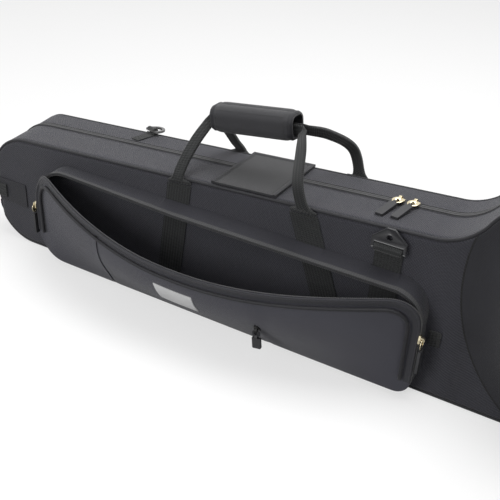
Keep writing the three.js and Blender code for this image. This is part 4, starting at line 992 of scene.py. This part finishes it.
gussetShares = [0, 0.12, 0.3, 0.5, 0.7, 0.76, 1.0]
rings = [gussetLoop(s, 0) for s in gussetShares] + [gussetLoop(s, p["wall"]) for s in reversed(gussetShares)]
mesh = gridMesh("gussetWall", rings, ringClosed=True, rowsClosed=True)
gusset = addPiece("pocket_gusset_cloth", mesh, [gussetCloth, coilCloth], "front_shell", "pocket_gusset",
                  "smooth_cloth", sharp=60)
setFinish(mesh, lambda k: int(k // len(rings[0]) in (5, 6)))  # the zipper's sewn tape shows along the mouth


def flapLean(x, up):
    # The flap leans out at its foot and bends upright above, most at mid-length
    share = (x - p["left"] - p["bowLeft"]) / (p["right"] - p["left"] - p["bowLeft"] - p["bowRight"])
    bent = smooth((up - p["bendStart"]) / (p["bendEnd"] - p["bendStart"]))
    return radians(lerp(p["bowLow"], p["bowHigh"], bent)) * (1 - abs(2 * clamp(share) - 1) ** p["bowPower"])


def flapPoint(x, up, out):
    y, z, step = flapY, p["bottom"], up / p["bowSlices"]
    for i in range(p["bowSlices"]):
        lean = flapLean(x, up * (i + 0.5) / p["bowSlices"])
        y -= step * sin(lean)
        z += step * cos(lean)
    lean = flapLean(x, up)
    return at(x, y - out * cos(lean), z - out * sin(lean))


def flapOut(spot):
    lean = flapLean(spot.x * 1000, p["leanAt"])
    return Vector((0, -cos(lean), -sin(lean)))


def flapSpan(x, inset=0):
    return [z - p["bottom"] for z in pocketSpan(x, inset, 1)]


stations = pocketStations(0, 2)
turnLeft, turnRight = stations[:p["turnSteps"] + 1], stations[-p["turnSteps"] - 1:]
panelCuts = [(p["left"], p["left"]), (p["slitBottom"], p["slitTop"]), (p["edgeBottom"], p["edgeTop"]),
             (p["right"], p["right"])]
for k, (name, turns) in enumerate((("left", turnLeft), ("centre", []), ("right", turnRight))):
    steps = p["panelSteps"]
    total = steps + max(len(turns) - 1, 0)

    def columnX(index, s):
        a = lerp(*panelCuts[k], s) + (p["cut"] if k > 0 else 0)
        b = lerp(*panelCuts[k + 1], s) - (p["cut"] if k < 2 else 0)
        if k == 0 and index < len(turns):
            return turns[index]
        if k == 2 and index >= steps:
            return turns[index - steps]
        if k == 0:
            return lerp(turns[-1], b, (index - len(turns) + 1) / steps)
        return lerp(a, turns[0] if turns else b, index / steps)

    def panelPoint(index, s, n):
        # How near the cuts a column is: pinched there, and the outer panels lap a little over the middle one
        x = columnX(index, s)
        low, high = flapSpan(x)
        along = index / total
        fromCut = (1 - along, min(along, 1 - along), along)[k] * p["cutReach"]
        fromEdge = min(s, 1 - s) * max(high - low, 1)
        pinch = p["cutPinch"] * hump(fromCut, p["pinchWidth"]) + p["edgePinch"] * hump(fromEdge, p["pinchWidth"])
        near = ((along, 0.0, 1 - along)[k] - p["lapFrom"]) / (1 - p["lapFrom"])
        lap = p["lap"] * smooth(near) * smooth(fromEdge / p["lapEnds"])
        return flapPoint(x, lerp(low, high, s), n * (p["cloth"] - pinch) + lap)

    shares = sharesOf(p["panelRows"])
    rows = [[panelPoint(index, s, 1) for s in shares] + [panelPoint(index, s, 0) for s in reversed(shares)]
            for index in range(total + 1)]
    piece = addPiece("flap_%s_cloth" % name, ringMesh(name + "Panel", rows), smoothCloth, "pocket_flap",
                     "flap_panel_" + name, "smooth_cloth", sharp=60)


def denseFeet(run):
    # More points on the two straight feet of an edge run
    shares = sharesOf(p["feetSteps"])
    return [run[0].lerp(run[1], s) for s in shares[:-1]] + run[1:-1] + [run[-2].lerp(run[-1], s) for s in shares[1:]]


def edgeRun(inset):
    # Along the flap's free edge: place along the case and height up the flap
    stations = pocketStations(inset, p["runSteps"])
    first, last = [Vector((x, flapSpan(x, inset)[0], 0)) for x in (stations[0], stations[-1])]
    return [first] + [Vector((x, flapSpan(x, inset)[1], 0)) for x in stations] + [last]


rows = []
for a, b in zip(denseFeet(edgeRun(0)), denseFeet(edgeRun(p["tapeWidth"]))):
    # Tape across: welt at its outer edge, flat, groove by the piping
    over = ((0, 0.9), (0.04, 1.7), (0.12, 2.0), (0.22, 1.9), (0.28, 1.2), (0.6, 1.15), (0.95, 1.1), (1, 0.9))
    below = [(share, p["tapePlay"] * p["tapeUnder"]) for share in (1, 0.6, 0.2, 0)]
    rows.append([flapPoint(*a.lerp(b, share).xy, p["cloth"] + height) for share, height in (*over, *below)])
addPiece("flap_zipper_tape_cloth", ringMesh("flapTape", rows), tapeCloth, "pocket_flap", "flap_zipper_tape", "trim",
         sharp=55)

pipeStand = p["cloth"] + pipingSizes["radius"] + p["tapePlay"] + p["play"]
path = [flapPoint(q.x, q.y, pipeStand) for q in denseFeet(edgeRun(p["pipingInset"]))]
addPiece("flap_piping_cord", tubeMesh("flapPiping", path, pipingSizes["radius"]), trimCloth, "pocket_flap",
         "flap_piping", "trim")
path = [flapPoint(q.x, q.y, p["cloth"] + p["thread"]) for q in edgeRun(p["stitchInset"])]
stitchRow("flap_edge_stitches", path, flapOut, "pocket_flap", "trim", pitch=3.8, length=2.4)
path = [flapPoint(q.x, q.y, p["cloth"] - p["toothSink"]) for q in denseFeet(edgeRun(-p["toothReach"]))]
teethAlong("flap_zipper_teeth", path, flapOut, "pocket_flap")


def mouthRun(inset):
    stations = pocketStations(inset, p["runSteps"])
    top = [Vector((x, pocketSpan(x, inset, 1)[1], 0)) for x in stations]
    foot = p["bottom"] + p["bottomLeftRadius"]
    first, last = [Vector((x, foot, 0)) for x in (stations[0], stations[-1])]
    return denseFeet([first] + [q for q in top if q.y > foot] + [last])


shallow, deep = mouthY + p["tapeEdge"], mouthY + p["tapeWidth"] - p["tapeEdge"]
runs = [mouthRun(p["wall"] + p["tapeInset"] + more) for more in (0, p["tapeThickness"])]
rows = [[at(q.x, y, q.y) for q, y in ((a, shallow), (a, deep), (b, deep), (b, shallow + 2 * p["tapeEdge"]))]
        for a, b in zip(*runs)]
addPiece("pocket_zipper_tape_cloth", ringMesh("mouthTape", rows), tapeCloth, "front_shell",
         "pocket_zipper_tape", "trim", sharp=50)
mouthTeeth = [at(q.x, mouthY + p["toothReach"], q.y) for q in mouthRun(p["wall"] + p["toothInset"])]
teethAlong("pocket_zipper_teeth", mouthTeeth, Vector((0, -1, 0)), "front_shell")
print("pocket made")

# Rings for a shoulder strap
rollDetail = {"steps": 18, "turnSteps": 28, "from": -60, "sweep": 300, "tuck": 0.5, "tuckReach": 1.4}


def rolledTab(name, flat, centre, side, axisUp, tabOut, width):
    # Webbing folded round the ring's bar: the flat tab and the roll as one skin
    d = rollDetail
    rows = []
    for share in sharesOf(d["steps"]):
        edge = min(share, 1 - share) * width
        tuck = d["tuck"] * (1 - sqrt(max(0.0, 1 - (1 - min(edge / d["tuckReach"], 1)) ** 2)))
        middle = centre + side * ((share - 0.5) * width / 1000)
        turns = [radians(d["from"] + d["sweep"] * s) for s in sharesOf(d["turnSteps"])]
        around = [axisUp * cos(t) + tabOut * sin(t) for t in turns]
        rows.append([middle + way * ((ringTab["radius"] - tuck) / 1000) for way in around]
                    + [middle + way * ((ringTab["bore"] + tuck * 0.5) / 1000) for way in reversed(around)])
    return joinMeshes(name, [flat, ringMesh(name + "Roll", rows)])


tabTop = topAt(ringTab["x"]) - ringTab["drop"]
flat = faceStrip("frontTabFlat", ringTab["x"], -1, 0, tabTop - 1, ringTab["bottom"], ringTab["width"])
frontRoll = at(ringTab["x"], faceY - ringTab["radius"] - ringTab["lift"], tabTop)
mesh = rolledTab("frontTab", flat, frontRoll, Vector((1, 0, 0)), Vector((0, 1, 0)), Vector((0, 0, 1)),
                 ringTab["width"])
addWebbing("front_ring_webbing", mesh, "front_shell", "front_ring_tab")
boxStitches("front_ring_stitches", ringTab["x"], -1, 0, caseSizes["frontDepth"] + strapSkin, tabTop - 6,
            ringTab["width"], ringTab["sewn"], "front_shell")
backTab = {"x": -237, "roll": 44, "turn": 17, "length": 34, "width": 17, "sewnReach": 5.5, "sewnFrom": 3,
           "sewnTo": 20, "middle": 1.2, "steps": 16}


def onBackTab(x, y, z):
    # A point of the turned tab on the top face, from the middle of its roll
    turn = radians(backTab["turn"])
    return onTop(backTab["x"] + x * cos(turn) + y * sin(turn), backTab["roll"] + y * cos(turn) - x * sin(turn), z)


tabAcross, tabAlong, tabUp = [(onBackTab(*v) - onBackTab(0, 0, 0)).normalized()
                              for v in ((1, 0, 0), (0, 1, 0), (0, 0, 1))]
rows = sheetRows(backTab["steps"], strapSizes["columns"], lambda u, v: onBackTab(
    (v - 0.5) * backTab["width"], lerp(-backTab["length"], -1, u), backTab["middle"]))
flat = softStrip("backTabFlat", rows, strapSizes["thickness"], lambda i, j: tabUp)
backRoll = onBackTab(0, 0, strapSizes["play"] + ringTab["radius"] + ringTab["lift"])
mesh = rolledTab("backTab", flat, backRoll, tabAcross, -tabUp, tabAlong, backTab["width"])
addWebbing("back_ring_webbing", mesh, "back_shell", "back_ring_tab")
corners = [onBackTab(way * backTab["sewnReach"], backTab[key] - backTab["length"], strapSkin) for way, key in (
    (-1, "sewnFrom"), (1, "sewnFrom"), (1, "sewnTo"), (-1, "sewnTo"))]
crossStitches("back_ring_stitches", corners, tabUp, "back_shell")
for which, finish, slot, width, rim in (("front", plastic, "black_plastic", 0.45, (1.25, 0.8)),
                                        ("back", greyPlastic, "grey_plastic", 1.3, None)):
    bevelledNode(which + "_d_ring", finish, which + "_d_ring", slot, width=width, segments=4,
                 name=which + "_ring_moulding", rim=rim)

# Zipper sliders, their rings and pulls, and the metal plate
sliderEdge, pullEdge = 0.45, 0.7
for hand in ("left", "right"):
    for where in ("main", "pocket"):
        slider, ring, pull = ["%s_%s_%s" % (where, part, hand) for part in ("slider", "ring", "pull")]
        bevelledNode(slider, gold, slider, "pale_gold", width=sliderEdge)
        roundedNode("%s_slider_ring_%s" % (where, hand), gold, ring, "pale_gold")
        bevelledNode(pull, rubber, pull, "pull_rubber", width=pullEdge)
bevelledNode("flap_slider", blackMetal, "flap_slider", "black_metal", width=sliderEdge)
roundedNode("flap_pull_cord", trimCloth, "flap_pull_cord", "trim")
bevelledNode("flap_pull", rubber, "flap_pull", "pull_rubber", width=pullEdge)
plateSizes = {"left": -83, "length": 61, "height": 37, "fromTop": 36, "low": 0.12, "thickness": 1.3, "columns": 60,
              "lines": 36, "rim": 0.25, "rimReach": 1.2}


def platePlace(u, v, n, edge):
    s = plateSizes
    top = flapSpan(s["left"] + s["length"] / 2)[1] - s["fromTop"]
    out = p["cloth"] + s["low"] + n * (s["thickness"] - s["rim"] * (1 - smooth(edge / s["rimReach"])))
    return flapPoint(s["left"] + u * s["length"], top - (1 - v) * s["height"], out)


def plateEdge(u, v):
    return min(min(u, 1 - u) * plateSizes["length"], min(v, 1 - v) * plateSizes["height"])


mesh = slabMesh("plateSlab", platePlace, plateEdge, plateSizes["columns"], plateSizes["lines"])
addPiece("flap_plate_metal", mesh, plateMetal, "pocket_flap", "flap_plate", "plate_metal", sharp=50)

# Slide end: sewn patch and grab loop
endSizes = {
    "bottom": 66, "height": 40, "patchLength": 66, "patch": 2.2, "patchPlay": 0.35, "reach": 26, "strap": 3,
    "inset": 9, "frontFoot": 26, "backFoot": 12, "zipper": 7, "seamIn": 3, "flatSteps": 12, "turnSteps": 8,
    "zipperPlay": 0.7, "rim": 0.4, "thread": 0.1, "strapPlay": 0.3, "loopSteps": 36,
}


def patchPath(lift):
    # Along the front face towards the slide end, round the corner and over the end face
    corner, depth = caseSizes["planCorner"], caseSizes["frontDepth"]
    reach = corner + lift
    shares = sharesOf(endSizes["flatSteps"])
    points = [(lerp(endSizes["patchLength"] - half, corner - half, s), -depth - lift, 0, -1) for s in shares]
    for turn in [radians(90 * s) for s in sharesOf(endSizes["turnSteps"])[1:]]:
        points.append((corner - half - reach * sin(turn), corner - depth - reach * cos(turn), -sin(turn), -cos(turn)))
    return points + [(-half - lift, lerp(corner - depth, -endSizes["zipper"] - endSizes["zipperPlay"], s), -1, 0)
                     for s in shares[1:]]


def stitchSide(spot):
    return Vector((0, -1, 0)) if spot.x * 1000 > caseSizes["planCorner"] - half else Vector((-1, 0, 0))


outline = patchPath(lerp(endSizes["patchPlay"], endSizes["patch"], 0.5))
rows = [[at(x, y, endSizes["bottom"] + endSizes["height"] * s) for s in sharesOf(endSizes["flatSteps"])]
        for x, y, *out in outline]
mesh = softStrip("endPatch", rows, endSizes["patch"] - endSizes["rim"], lambda i, j: Vector((*outline[i][2:], 0)))
addPiece("end_patch_cloth", mesh, patchCloth, "front_shell", "end_handle_patch", "ballistic_weave", sharp=60)
for k, up in enumerate((endSizes["seamIn"], endSizes["height"] - endSizes["seamIn"])):
    line = [at(x, y, endSizes["bottom"] + up) for x, y, *out in patchPath(endSizes["patch"] + endSizes["thread"])]
    stitchRow("end_patch_stitches_%d" % k, line, stitchSide, "front_shell", "trim", pitch=3.6, length=2.4)
strapLift = endSizes["patch"] + endSizes["strapPlay"] + endSizes["strap"] / 2
frontRow, endRow = -caseSizes["frontDepth"] - strapLift, -half - strapLift
loopOut = -half - endSizes["reach"]
loopLevel = endSizes["bottom"] + endSizes["height"] / 2
backEnd = -endSizes["zipper"] - endSizes["strap"]
curve = splinePoints([Vector((x, y, loopLevel)) for x, y in (
    (caseSizes["planCorner"] - half, frontRow), ((loopOut - half) / 2, frontRow),
    (loopOut, frontRow + endSizes["reach"]), (loopOut, backEnd - endSizes["reach"]),
    (endRow, backEnd - endSizes["backFoot"]))], endSizes["loopSteps"])
spots = [Vector((endSizes["frontFoot"] - half, frontRow, loopLevel))] + curve + [Vector((endRow, backEnd, loopLevel))]
loopWidth = endSizes["height"] - 2 * endSizes["inset"]
loopOuts = [heading(spots, i).cross(Vector((0, 0, 1))) for i in range(len(spots))]
rows = [[at(spot.x, spot.y, loopLevel + (s - 0.5) * loopWidth) for s in sharesOf(strapSizes["columns"])]
        for spot in spots]
mesh = softStrip("endLoop", rows, endSizes["strap"], lambda i, j: loopOuts[i])
addWebbing("end_handle_webbing", mesh, "front_shell", "end_handle")

# Short tab beyond the pocket, and what is inside the case
tabSizes = {"left": 266, "width": 16, "bottom": 80, "height": 21, "thickness": 3, "steps": 10}
rows = sheetRows(tabSizes["steps"], strapSizes["columns"], lambda u, v: at(
    tabSizes["left"] + tabSizes["width"] * v, faceY - tabSizes["thickness"] / 2,
    tabSizes["bottom"] + tabSizes["height"] * u))
mesh = softStrip("pocketTab", rows, tabSizes["thickness"], lambda i, j: Vector((0, -1, 0)))
addWebbing("pocket_end_tab_webbing", mesh, "front_shell", "pocket_end_tab")
for body, nodes in (("front_shell", ("slide_rest_left", "slide_rest_right")),
                    ("back_shell", ("neck_rest", "bell_rest", "mouthpiece_block"))):
    for node in nodes:
        paddedNode(node, foamCloth, body, "foam")
addPiece("hinge_cloth", nodeCopy("hinge_gusset"), gussetCloth, "back_shell", "hinge_gusset", "trim")
print("trim, rings, sliders and inside made")

# Floor, light and camera
stageSizes = {"floor": 12.0, "drop": 0.0005, "glowShare": 0.6, "worldLight": 0.4, "bounce": 0.45}
scene = bpy.context.scene
ends = (-stageSizes["floor"], stageSizes["floor"])
floorMesh = gridMesh("floorGrid", [[Vector((x, y, -stageSizes["drop"])) for y in ends] for x in ends])
floor = bpy.data.objects.new("studio_floor", floorMesh)
scene.collection.objects.link(floor)
floorMaterial, tree, surface, uv, own = startMaterial("paleFloor", Roughness=0.9)
seenFirst = addNode(tree, "LightPath").outputs["Is Camera Ray"]
paleTone = mixColours(tree, noise(tree, own, 3, 2), grey(0.97), grey(0.99))
tree.links.new(mixColours(tree, seenFirst, grey(stageSizes["bounce"]), paleTone), surface.inputs["Base Color"])
glow = addNode(tree, "Emission", Color=(1, 1, 1, 1), Strength=1.0)
lifted = addNode(tree, "MixShader", {0: maths(tree, "MULTIPLY", seenFirst, stageSizes["glowShare"]),
                                     1: surface.outputs[0], 2: glow.outputs[0]})
tree.links.new(lifted.outputs[0], tree.nodes["Material Output"].inputs["Surface"])
floorMesh.materials.append(floorMaterial)

scene.world = scene.world or bpy.data.worlds.new("studio")
scene.world.use_nodes = True
tree = scene.world.node_tree
tree.nodes.clear()
rays = addNode(tree, "LightPath").outputs
seen = maths(tree, "MAXIMUM", rays["Is Camera Ray"],
             maths(tree, "MAXIMUM", rays["Is Glossy Ray"], rays["Is Transmission Ray"]))
soft, white = [addNode(tree, "Background", Color=(1, 1, 1, 1), Strength=strength)
               for strength in (stageSizes["worldLight"], 1.0)]
mixed = addNode(tree, "MixShader", {0: seen, 1: soft.outputs[0], 2: white.outputs[0]})
addNode(tree, "OutputWorld", {"Surface": mixed.outputs[0]})


def addLamp(name, place, target, size, power):
    lamp = bpy.data.lights.new(name, "AREA")
    lamp.energy, lamp.size = power, size
    piece = bpy.data.objects.new(name, lamp)
    piece.location = place
    piece.rotation_euler = (Vector(target) - Vector(place)).to_track_quat("-Z", "Y").to_euler()
    scene.collection.objects.link(piece)


addLamp("overhead_softbox", (0.3, 0.2, 2.0), (0, 0, 0.1), 1.4, 36)
addLamp("front_softbox", (-0.75, -2.45, 1.2), (0.15, 0, 0.15), 1.2, 31)

cameraSizes = {"place": (441.2, -859.3, 667.9), "azimuth": 28.76, "elevation": 31.01, "roll": 2.97, "focal": 777.3,
               "frame": 500, "sensor": 36}
azimuth, elevation, roll = [radians(cameraSizes[key]) for key in ("azimuth", "elevation", "roll")]
ahead = Vector((-sin(azimuth) * cos(elevation), cos(azimuth) * cos(elevation), -sin(elevation)))
rightward = Vector((cos(azimuth), sin(azimuth), 0))
upward = rightward.cross(ahead)
cameraRight = rightward * cos(roll) + upward * sin(roll)
cameraUp = upward * cos(roll) - rightward * sin(roll)
lens = bpy.data.cameras.new("photo_camera")
lens.sensor_width = cameraSizes["sensor"]
lens.lens = cameraSizes["focal"] * cameraSizes["sensor"] / cameraSizes["frame"]
lens.clip_start, lens.clip_end = 0.01, 60
camera = bpy.data.objects.new("photo_camera", lens)
axes = Matrix((cameraRight, cameraUp, -ahead)).transposed().to_4x4()
camera.matrix_world = Matrix.Translation(at(*cameraSizes["place"])) @ axes
scene.collection.objects.link(camera)
scene.camera = camera
scene.view_settings.view_transform = "Standard"
print("stage, lights and camera set")
